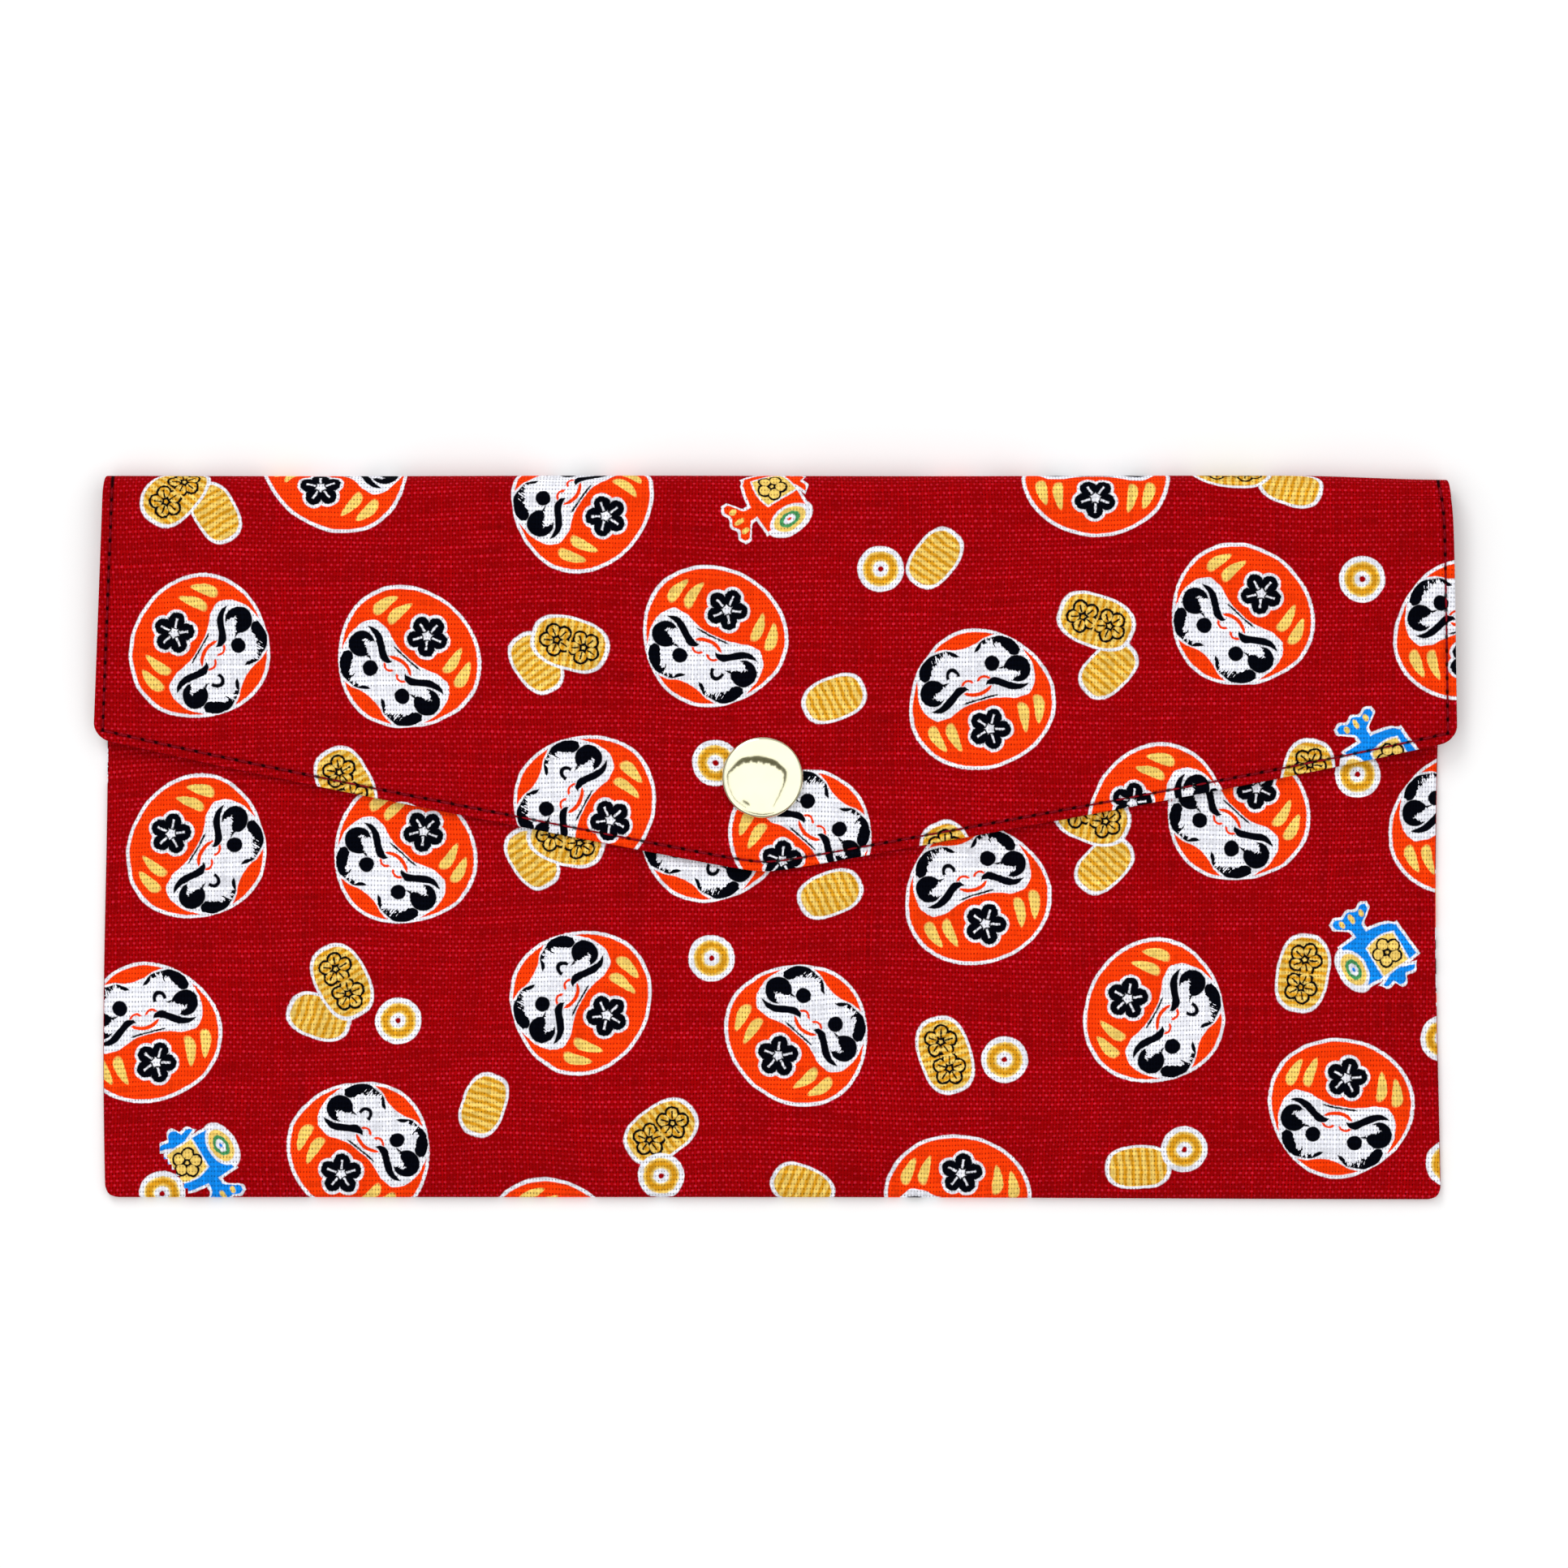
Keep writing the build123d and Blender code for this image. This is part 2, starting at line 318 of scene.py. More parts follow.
def flap_half_width(depth, right):
    """Half the flap's width: it widens linearly with depth, and at the right more near the fold."""
    left_side = 92.7 + 0.042 * depth
    right_side = 92.7 + 1.35 * (1 - np.exp(-np.maximum(depth, 0) / 2.5)) + 0.018 * depth
    return np.where(right, right_side, left_side)


def fold_line(x):
    """Y of the top fold: straight, with a shallow drop over its right end and faint waves."""
    return TOP_Y - 0.5 * smooth((x - 72) / 22) - 0.04 * (1 + np.sin(x / 13))


def flap_edge(x):
    """Depth of the flap's lower edge: a hyperbola for the rounded point, and a fifth power of
    the distance from the point that steepens it towards the corners."""
    from_tip = x + 1.2
    rounding = 2.5
    slope = np.where(from_tip < 0, 0.196, 0.184)
    share = np.abs(from_tip) / 93
    return 54.8 - slope * (np.hypot(from_tip, rounding) - rounding) - 0.75 * share**5


def snap_distance(x, y):
    """Distance from the snap's axis in the plan."""
    return np.hypot(x - SNAP_X, y - SNAP_Y)


def side_droop(x):
    """Grows as a square from 0 at 45 mm off the middle to about 1 at the flap's sides."""
    return np.clip((np.abs(x) - 45) / 49, 0, 1) ** 2


def flap_height(x, depth):
    """Height of the flap's printed face before its edge is shaped: level in the middle, lower
    towards the sides and more so near the corners, pressed down a little round the snap, and
    with two faint crossing waves."""
    droop = side_droop(x) * (1.3 + 1.5 * smooth(depth / 36))
    around = snap_distance(x, TOP_Y - depth)
    press = 0.14 * np.exp(-(((around - 6.3) / 3.0) ** 2)) + 0.05 * (around < 6.3)
    waves = 0.09 * np.sin(x / 17 + depth / 9) * np.cos(depth / 11 - x / 29)
    waves += 0.05 * np.sin(x / 7.3 - depth / 5.1)
    return FLAP_TOP - 0.08 - droop - press + waves * smooth((around - 6) / 10)


def front_height(x, y):
    """Height of the front's printed face before its edge is shaped: it rises from the side
    seams and the bottom fold as 1 - exp(-(distance / reach)^1.2), and dips round the stud."""
    side, bottom = BODY_HALF - np.abs(x), y - BOTTOM_Y
    rise = 1 - np.exp(-(np.maximum(side, 0) / 13) ** 1.2)
    rise *= 1 - np.exp(-(np.maximum(bottom, 0) / 8) ** 1.2)
    waves = 0.10 * np.sin(x / 15 - y / 12) * np.cos(x / 23 + y / 9)
    waves += 0.05 * np.sin(x / 6.1 + y / 7.7)
    around = snap_distance(x, y)
    dip = (FRONT_TOP - STUD_LOW[2]) * smooth((14.0 - around) / 8.8)
    base = 2 * WALL
    return base + (FRONT_TOP - base) * rise + waves * rise * smooth((around - 6) / 10) - dip


def edge_round(inside, radius):
    """Height of a quarter circle over the last radius of a surface: 0 at its edge, 1 inside."""
    t = np.clip(inside / radius, 0, 1)
    return np.sqrt(np.maximum(1 - (1 - t) ** 2, 0))


def clustered(start, end, spacing, margin, fine):
    """Places from start to end that are fine apart within margin of both ends."""
    near = np.arange(0, margin, fine)
    count = max(2, int(round((end - start - 2 * margin) / spacing)) + 1)
    middle = np.linspace(start + margin, end - margin, count)
    return np.concatenate([start + near, middle, (end - near)[::-1]])


def rounded_corner(across, down, radius):
    """Moves the points of a square corner onto a quarter disc. across and down are distances
    in from the two sides, and the map keeps nested squares as nested quarter circles."""
    a, b = 1 - across / radius, 1 - down / radius
    inside = (a > 0) & (b > 0)
    r = np.maximum(a, b)
    with np.errstate(divide="ignore", invalid="ignore"):
        angle = np.where(a >= b, math.pi / 4 * b / a, math.pi / 2 - math.pi / 4 * a / b)
    new_across = np.where(inside, radius * (1 - r * np.cos(angle)), across)
    new_down = np.where(inside, radius * (1 - r * np.sin(angle)), down)
    return new_across, new_down


def unit(v):
    """Vectors scaled to a length of 1."""
    return v / np.maximum(np.linalg.norm(v, axis=-1, keepdims=True), 1e-12)


def grid_normals(points):
    """Normals of a grid of points: the cross product of its two differences, with each corner
    copied from its inner neighbour."""
    normals = unit(np.cross(np.gradient(points, axis=1), np.gradient(points, axis=0)))
    for i, k in ((0, 1), (-1, -2)):
        for j, m in ((0, 1), (-1, -2)):
            normals[i, j] = normals[k, m]
    return normals


def grid_loop(rows, columns):
    """Indices round the border of a grid, once."""
    index = np.arange(rows * columns).reshape(rows, columns)
    parts = (index[0, :], index[1:, -1], index[-1, -2::-1], index[-2:0:-1, 0])
    return np.concatenate(parts)


def grid_quads(index):
    """The quads of a grid of indices, wound along its columns and then its rows."""
    a, b = index[:-1, :-1], index[:-1, 1:]
    c, d = index[1:, 1:], index[1:, :-1]
    return np.stack([a, b, c, d], axis=-1).reshape(-1, 4)


class Sheet:
    """A closed cloth: the outer face is a grid, the inner face is the same grid moved inwards
    along its normals by the thickness, and half circles join the two round the border, except
    along the rows that are flush with the next piece."""

    steps = 5

    def __init__(self, points, normals, thickness, cloth, flush_rows=()):
        rows, columns = points.shape[:2]
        self.shape = (rows, columns)
        thick = np.broadcast_to(thickness, (rows, columns)).reshape(-1, 1)
        outer, normal = points.reshape(-1, 3), normals.reshape(-1, 3)
        loop = grid_loop(rows, columns)
        tangent = unit(np.roll(outer[loop], -1, 0) - np.roll(outer[loop], 1, 0))
        away = unit(np.cross(tangent, normal[loop]))
        middle = outer.mean(0)
        if ((outer[loop] - middle) * away).sum() < 0:
            away = -away
        row_of, column_of = loop // columns, loop % columns
        for row in flush_rows:
            row %= rows
            inner = (row_of == row) & (column_of > 0) & (column_of < columns - 1)
            away[inner] = 0
            for column in (0, columns - 1):
                corner = np.nonzero((row_of == row) & (column_of == column))[0][0]
                beside = row - 1 if row else 1
                side = np.nonzero((row_of == beside) & (column_of == column))[0][0]
                away[corner] = away[side]
        radius = thick[loop] / 2
        rings, reach = [], []
        for k in range(1, self.steps):
            angle = math.pi * k / self.steps
            rings.append(
                outer[loop]
                + away * radius * math.sin(angle)
                - normal[loop] * radius * (1 - math.cos(angle))
            )
            reach.append(away[:, :2] * radius * angle)
        inner = outer - normal * thick
        self.points = np.concatenate([outer, *rings, inner])
        self.cloth = np.concatenate(
            [cloth.reshape(-1, 2)]
            + [cloth.reshape(-1, 2)[loop] + r * (1, -1) for r in reach]
            + [cloth.reshape(-1, 2)]
        )
        count, length = rows * columns, len(loop)
        first = count + (self.steps - 1) * length
        top = np.arange(count).reshape(rows, columns)
        bands = [loop]
        bands += [count + k * length + np.arange(length) for k in range(self.steps - 1)]
        bands += [first + loop]
        band = np.stack(bands)
        band = np.concatenate([band, band[:, :1]], axis=1)
        faces = [grid_quads(top), grid_quads(band)[:, ::-1], grid_quads(top + first)[:, ::-1]]
        a, b, c, d = (self.points[faces[0][:, k]] for k in range(4))
        facing = (np.cross(c - a, d - b) * normal[faces[0][:, 0]]).sum()
        if facing < 0:
            faces = [f[:, ::-1] for f in faces]
        ring = faces[1]
        a, b, c, d = (self.points[ring[:, k]] for k in range(4))
        centre = (a + b + c + d) / 4
        ring_away = np.cross(c - a, d - b)
        inward = (outer[loop] - normal[loop] * radius)[np.arange(len(ring)) % length]
        if ((centre - inward) * ring_away).sum() < 0:
            faces[1] = ring[:, ::-1]
        self.faces = np.concatenate(faces)


def add_mesh(name, points, faces, body=None):
    """Makes a smooth-shaded mesh object from points in millimetres and faces."""
    mesh = bpy.data.meshes.new(name)
    faces = np.asarray(faces)
    mesh.vertices.add(len(points))
    mesh.vertices.foreach_set("co", (np.asarray(points) * MM).astype(np.float32).ravel())
    mesh.loops.add(faces.size)
    mesh.loops.foreach_set("vertex_index", faces.astype(np.int32).ravel())
    mesh.polygons.add(len(faces))
    starts = np.arange(len(faces), dtype=np.int32) * faces.shape[1]
    mesh.polygons.foreach_set("loop_start", starts)
    mesh.update(calc_edges=True)
    mesh.validate()
    mesh.shade_smooth()
    piece = bpy.data.objects.new(name, mesh)
    bpy.context.scene.collection.objects.link(piece)
    if body:
        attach(piece, body)
    return piece


def corner_attribute(mesh, name, values):
    """Stores three numbers at each face corner."""
    made = mesh.attributes.new(name, "FLOAT_VECTOR", "CORNER")
    made.data.foreach_set("vector", np.asarray(values, np.float32).ravel())


def figure_places(cloth, faces, figures, repeats_down):
    """For each face corner, its place in the frame of the figure nearest to the face, and that
    figure's kind. The place is the offset from the figure's centre, less whole repeats, turned
    back by the figure's turn."""
    corners = cloth[faces]
    middle = corners.mean(1)
    best = np.full(len(faces), np.inf)
    found = np.zeros((len(faces), 4, 3))
    for (x, depth, turn, kind), down in zip(figures, repeats_down):
        period = np.array([REPEAT_ACROSS, down])
        whole = np.round((middle - (x, depth)) / period) * period
        near = np.linalg.norm(middle - (x, depth) - whole, axis=1)
        better = near < best
        best[better] = near[better]
        offset = corners[better] - (x, depth) - whole[better, None]
        right, up = offset[..., 0], -offset[..., 1]
        c, s = math.cos(math.radians(turn)), math.sin(math.radians(turn))
        place = [right * c - up * s, right * s + up * c, np.full_like(right, kind)]
        found[better] = np.stack(place, axis=-1)
    return found.reshape(-1, 3)


def add_print(piece, sheet, stitch_line):
    """Stores the cloth's own coordinates as a UV map, the places of the print's figures, and
    the place of each corner along and across the line of stitches."""
    mesh = piece.data
    faces = np.zeros(len(mesh.loops), np.int32)
    mesh.loops.foreach_get("vertex_index", faces)
    faces = faces.reshape(-1, 4)
    layer = mesh.uv_layers.new(name="cloth")
    layer.uv.foreach_set("vector", sheet.cloth[faces].astype(np.float32).ravel())
    once, twice = [REPEAT_DOWN] * len(DOLLS), [2 * REPEAT_DOWN] * len(RARE_DOLLS)
    for name, figures, down in (
        ("doll", DOLLS + RARE_DOLLS, once + twice),
        ("stamped_coin", STAMPED_COINS, [REPEAT_DOWN] * len(STAMPED_COINS)),
        ("plain_coin", PLAIN_COINS, [REPEAT_DOWN] * len(PLAIN_COINS)),
        ("round_figure", ROUND_FIGURES, [REPEAT_DOWN] * len(ROUND_FIGURES)),
    ):
        corner_attribute(mesh, name, figure_places(sheet.cloth, faces, figures, down))
    corner_attribute(mesh, "stitch_line", stitch_line(sheet.points, faces))


# ---------------------------------------------------------------------------------------------
# The pouch's own surfaces


def flap_stitch_paths(inset):
    """The four runs of topstitching on the flap as (plan points, length along the run): down
    the left side, along the point's left edge, its right edge, and up the right side."""
    runs = []
    for right in (False, True):
        sign = 1 if right else -1
        depth = np.linspace(1.5, 40, 400)
        x = sign * (flap_half_width(depth, right) - inset)
        drop = flap_edge(x) - inset / math.cos(EDGE_LEAN)
        keep = depth <= drop
        side = np.stack([x[keep], TOP_Y - depth[keep]], axis=1)
        x = np.linspace(side[-1, 0], -1.2, 600)
        edge = np.stack([x, TOP_Y - (flap_edge(x) - inset / math.cos(EDGE_LEAN))], axis=1)
        for path in (side, edge):
            length = np.linalg.norm(np.diff(path, axis=0), axis=1)
            runs.append((path, np.concatenate([[0], np.cumsum(length)])))
    return runs


def flap_stitch_line(points, faces, inset, pitch):
    """Distance from the stitches and place along them in pitches, for the flap's corners. Each
    face takes whichever of the four runs its middle is nearest to."""
    runs = flap_stitch_paths(inset)
    corners = points[faces]
    middle = corners.mean(1)
    left = middle[:, 0] < -1.2
    found = np.zeros((len(faces), 4, 3))
    for k, (path, along) in enumerate(runs):
        right_run, edge_run = k >= 2, k % 2 == 1
        x, y = corners[..., 0], corners[..., 1]
        steps = max(1, round(along[-1] / pitch)) / along[-1]
        if edge_run:
            order = np.argsort(path[:, 0])
            s = np.interp(x, path[order, 0], along[order])
            away = (y - np.interp(x, path[order, 0], path[order, 1])) * math.cos(EDGE_LEAN)
        else:
            s = np.interp(-y, -path[:, 1], along)
            side_x = np.interp(-y, -path[:, 1], path[:, 0])
            away = (side_x - x) * (1 if right_run else -1)
        place = np.stack([away, s * steps, np.zeros_like(s)], axis=-1)
        depth = TOP_Y - middle[:, 1]
        to_side = flap_half_width(depth, middle[:, 0] > 0) - np.abs(middle[:, 0])
        to_edge = (flap_edge(middle[:, 0]) - depth) * math.cos(EDGE_LEAN)
        mine = (left != right_run) & ((to_edge < to_side) == edge_run)
        found[mine] = place[mine]
    under = middle[:, 2] < FLAP_TOP / 2
    found[under, :, 0] = 9.0
    return found.reshape(-1, 3)


def no_stitch_line(points, faces):
    """For cloth with no stitches on it: every corner is far from the nearest line."""
    return np.tile((FAR_FROM_STITCHES, 0.0, 0.0), (faces.size, 1))


def flap_edge_relief(x, depth, inset, pitch):
    """Relief of the stitched edge: a groove at the stitches, deeper at each needle hole, and a
    soft roll between the stitches and the edge."""
    to_side = flap_half_width(depth, x > 0) - np.abs(x)
    to_edge = (flap_edge(x) - depth) * math.cos(EDGE_LEAN)
    inside = np.minimum(to_side, to_edge)
    along = np.where(to_side < to_edge, depth, np.abs(x) * 1.02)
    groove = np.exp(-(((inside - inset) / 0.38) ** 2))
    roll = np.exp(-(((inside - 0.50) / 0.36) ** 2))
    puff = np.exp(-(((inside - inset - 1.1) / 0.7) ** 2))
    holes = 0.5 + 0.5 * np.cos(2 * math.pi * along / pitch)
    return -groove * (0.07 + 0.07 * holes) + 0.05 * roll + 0.025 * puff * (1 - holes)


def flap_surface(x, depth, inset, pitch, relief=True):
    """Points and normals of the flap's printed face over the plan. The normals are those of
    the height by its slopes across and down."""

    def height(x, depth):
        z = flap_height(x, depth)
        return z + flap_edge_relief(x, depth, inset, pitch) if relief else z

    h = 0.05
    z = height(x, depth)
    across = (height(x + h, depth) - height(x - h, depth)) / (2 * h)
    down = (height(x, depth + h) - height(x, depth - h)) / (2 * h)
    points = np.stack([x, TOP_Y - depth, z], axis=-1)
    normals = unit(np.stack([-across, down, np.ones_like(z)], axis=-1))
    return points, normals


def flap_sheet(offset, thickness, margin, columns, rows, turns, inset, pitch, flat_inside=False):
    """One layer of the flap and the top fold. The plan runs from the lower edge up to where
    the fold begins, and the fold is a half circle from there down to the table:
    y = middle + radius cos(angle), z = radius + radius sin(angle), from 90 to -90 degrees."""
    c = columns
    corner = max(2.2 - margin, 0.3)
    side = np.sign(c)
    guess = np.broadcast_to(c * FLAP_HALF, (len(rows), len(c)))
    start = FLAP_TOP / 2
    depth = start + rows[:, None] * (flap_edge(guess) - margin - start)
    for _ in range(3):
        half = flap_half_width(depth, c > 0) - margin
        x = c * half
        depth = start + rows[:, None] * (flap_edge(x) - margin / math.cos(EDGE_LEAN) - start)
    to_side = flap_half_width(depth, c > 0) - margin - np.abs(x)
    to_edge = flap_edge(x) - margin / math.cos(EDGE_LEAN) - depth
    new_side, new_edge = rounded_corner(to_side, to_edge, corner)
    x = x + side * (to_side - new_side)
    depth = depth + (to_edge - new_edge)
    points, normals = flap_surface(x, depth, inset, pitch, relief=not flat_inside)
    cloth = np.stack([x, depth], axis=-1)

    fold_x = x[0]
    top = points[0, :, 2]
    radius = top / 2
    line = fold_line(fold_x)
    # The flat part is stretched to meet the fold where its radius asks for it.
    first = TOP_Y - line + radius
    shift = (first - depth[0]) * (1 - smooth(rows / 0.25))[:, None]
    points[..., 1] -= shift
    cloth[..., 1] += shift

    angles = np.radians(90 - 180 * turns)[:, None]
    middle_y = line - radius
    # The fold narrows from the flap's width to the pocket's.
    pocket_share = (BODY_HALF - margin) / np.abs(fold_x[[0, -1]]).mean()
    narrow = fold_x * (1 + (pocket_share - 1) * turns[:, None])
    fold = np.stack(
        [
            narrow,
            middle_y + radius * np.cos(angles),
            radius + radius * np.sin(angles),
        ],
        axis=-1,
    )
    fold_normals = np.stack(
        [np.zeros_like(narrow), np.cos(angles) + 0 * narrow, np.sin(angles) + 0 * narrow], axis=-1
    )
    fold_cloth = np.stack([narrow, radius * (1 - (math.pi / 2 - angles))], axis=-1)
    points = np.concatenate([points[::-1], fold[1:]])
    normals = np.concatenate([normals[::-1], fold_normals[1:]])
    cloth = np.concatenate([cloth[::-1], fold_cloth[1:]])
    return Sheet(points - normals * offset, normals, thickness, cloth, flush_rows=(-1,))


def fold_foot(x):
    """Y where the top fold's half circle meets the table, and the cloth's coordinate there."""
    radius = flap_height(x, np.full_like(x, FLAP_TOP / 2)) / 2
    return fold_line(x) - radius, radius * (1 - math.pi)


def plan_grid(columns, rows, half_left, half_right, corner):
    """A plan from its bottom edge up, with rounded bottom corners. columns run from -1 to 1
    and rows are distances up from the bottom."""
    half = np.where(columns > 0, half_right, half_left)
    x = np.broadcast_to(columns * half, (len(rows), len(columns)))
    up = np.broadcast_to(rows[:, None], x.shape)
    to_side = half - np.abs(x)
    new_side, new_up = rounded_corner(to_side, up, corner)
    return x + np.sign(columns) * (to_side - new_side), new_up, new_side


def body_wobble(y, right):
    """How far a side of the pocket strays from straight: slow waves with height."""
    if right:
        return -0.25 + 0.40 * np.cos((y + 62) / 17)
    return 0.15 + 0.30 * np.cos((y + 30) / 14)


def strip_shift(x):
    """How much further the print has run on at the front's far left."""
    return np.clip((-x - 50) / 43, 0, 1)


def front_sheet(offset, thickness, margin, columns, rows, rounded):
    """One layer of the front panel, from the bottom fold to the mouth."""
    height = MOUTH_Y - BOTTOM_Y - margin
    rows = rows * (height - margin)
    x, up, to_side = plan_grid(columns, rows, BODY_HALF - margin, BODY_HALF - margin, 2.2)
    y = BOTTOM_Y + margin + up
    top = smooth(up / 60)
    y = y + 0.15 * np.sin(x / 21) * top - 0.3 * smooth(x / 92) * (1 - smooth(up / 30))
    z = front_height(x, y) - offset
    wobble = np.where(x > 0, body_wobble(y, True), -body_wobble(y, False))
    x = x + wobble * smooth((np.abs(x) - 60) / 32)
    if rounded:
        inside = np.minimum(to_side, up)
        z = z - WALL * (1 - edge_round(inside, WALL))
        from_mouth = MOUTH_Y - BOTTOM_Y - 2 * margin - up
        z = z - 0.09 * np.exp(-(((from_mouth - 2.0) / 0.4) ** 2))
    points = np.stack([x, y, z], axis=-1)
    cloth = np.stack([x + 0.56, (TOP_Y - y) - 27.0 - 2 * REPEAT_DOWN - strip_shift(x)], axis=-1)
    normals = grid_normals(points)
    normals *= np.sign(normals[..., 2:].mean())
    return Sheet(points, normals, thickness, cloth)


def back_sheet(offset, thickness, margin, columns, rows, rounded):
    """One layer of the back panel, from the bottom fold to the foot of the top fold."""
    foot, foot_cloth = fold_foot(columns * BODY_HALF)
    x, up, to_side = plan_grid(columns, rows * 90, BODY_HALF - margin, BODY_HALF - margin, 2.2)
    low = BOTTOM_Y + margin
    y = low + up / 90 * (foot - low)
    straight = y - 0.3 * smooth(x / 92) * (1 - smooth(up / 30))
    wobble = np.where(x > 0, body_wobble(y, True), -body_wobble(y, False))
    fade = 1 - smooth((y - 36) / 10)
    x = x + wobble * smooth((np.abs(x) - 60) / 32) * fade
    z = np.full_like(x, offset)
    if rounded:
        z = z + WALL * (1 - edge_round(np.minimum(to_side, up), WALL))
    points = np.stack([x, straight, z], axis=-1)
    share = (foot - y) / (foot - BOTTOM_Y)
    end = (TOP_Y - BOTTOM_Y) - 27.0 - 2 * REPEAT_DOWN - strip_shift(x)
    cloth = np.stack([x + 0.56 * share, foot_cloth + share * (end - foot_cloth)], axis=-1)
    normals = grid_normals(points)
    normals *= -np.sign(normals[..., 2:].mean())
    return Sheet(points, normals, thickness, cloth, flush_rows=(-1,))


def stitch_mesh(centres, along, normals, length, thread, sink):
    """Stitches, each a two-ply thread: a tube of eight sides that arches up by its own
    thickness, tapers as the fourth root towards both ends, and whose radius swells twice round
    with a twist. Its ends sink below the cloth."""
    t = np.array([-1.0, -0.8, -0.45, 0.0, 0.45, 0.8, 1.0])
    angle = np.arange(8) * math.pi / 4
    side = unit(np.cross(normals, along))
    taper = np.array([0.25, 0.75, 1.0, 1.0, 1.0, 0.75, 0.25])
    arch = thread * (0.5 - 0.9 * t**4) - sink
    centre = (
        centres[:, None]
        + along[:, None] * (t * length / 2)[None, :, None]
        + normals[:, None] * arch[None, :, None]
    )
    ply = 1 + 0.14 * np.cos(2 * (angle[None, :] - 2.4 * t[:, None]))
    radius = thread / 2 * taper[:, None] * ply
    points = (
        centre[:, :, None]
        + side[:, None, None] * (radius * np.cos(angle))[None, :, :, None]
        + normals[:, None, None] * (radius * np.sin(angle))[None, :, :, None]
    )
    count, stations = len(centres), len(t)
    index = np.arange(count * stations * 8).reshape(count, stations, 8)
    ring = np.concatenate([index, index[:, :, :1]], axis=2)
    a, b = ring[:, :-1, :-1], ring[:, :-1, 1:]
    c, d = ring[:, 1:, 1:], ring[:, 1:, :-1]
    quads = np.stack([a, b, c, d], axis=-1).reshape(-1, 4)
    first, last = index[:, 0], index[:, -1]
    caps = []
    for end, order in ((first, (3, 2, 1, 0)), (last, (0, 1, 2, 3))):
        for k in (0, 2, 4):
            ring_part = end[:, [0, k + 1, k + 2, (k + 3) % 8]] if k else end[:, [0, 1, 2, 3]]
            caps.append(ring_part[:, order])
    return points.reshape(-1, 3), np.concatenate([quads, *caps])


def path_stitches(path, along, pitch, share, start=0.5):
    """Centres and directions of a whole number of stitches along a plan path."""
    count = max(1, round(along[-1] / pitch))
    at = (np.arange(count) + start) / count * along[-1]
    ends = [at - share * pitch / 2, at + share * pitch / 2]
    low, high = (
        np.stack([np.interp(e, along, path[:, 0]), np.interp(e, along, path[:, 1])], axis=1)
        for e in ends
    )
    return (low + high) / 2, unit(high - low)


def lathe(profile, segments=72):
    """A closed profile of radius and height turned about the snap's axis. Points on the axis
    are shared by the whole turn."""
    profile = np.asarray(profile, float)
    angle = np.arange(segments) * 2 * math.pi / segments
    x = SNAP_X + profile[:, :1] * np.cos(angle)
    y = SNAP_Y + profile[:, :1] * np.sin(angle)
    z = np.broadcast_to(profile[:, 1:], x.shape)
    points = np.stack([x, y, z], axis=-1).reshape(-1, 3)
    index = np.arange(len(points)).reshape(len(profile), segments)
    index = np.concatenate([index, index[:1]])
    index = np.concatenate([index, index[:, :1]], axis=1)
    return points, grid_quads(index)


def rounded_profile(corners, radius, steps=4):
    """A closed profile with each corner replaced by a short Bezier arc: the point at share t is
    (1-t)^2 before + 2t(1-t) corner + t^2 after."""
    corners = np.asarray(corners, float)
    before, after = np.roll(corners, 1, 0), np.roll(corners, -1, 0)
    made = []
    for corner, a, b in zip(corners, before, after):
        if corner[0] <= 1e-6:
            made.append(corner)
            continue
        reach_a = min(radius, np.linalg.norm(a - corner) * 0.45)
        reach_b = min(radius, np.linalg.norm(b - corner) * 0.45)
        p, q = corner + unit(a - corner) * reach_a, corner + unit(b - corner) * reach_b
        for t in np.linspace(0, 1, steps):
            made.append((1 - t) ** 2 * p + 2 * t * (1 - t) * corner + t * t * q)
    return np.array(made)


def add_lathe(name, profile, body, segments=72):
    """Adds a turned piece, welded on its axis and facing outwards."""
    points, faces = lathe(profile, segments)
    piece = add_mesh(name, points, faces)
    made = bmesh.new()
    made.from_mesh(piece.data)
    bmesh.ops.remove_doubles(made, verts=made.verts, dist=1e-7)
    bmesh.ops.recalc_face_normals(made, faces=made.faces)
    made.to_mesh(piece.data)
    made.free()
    piece.data.shade_smooth()
    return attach(piece, body)


# ---------------------------------------------------------------------------------------------
# Shader formulas


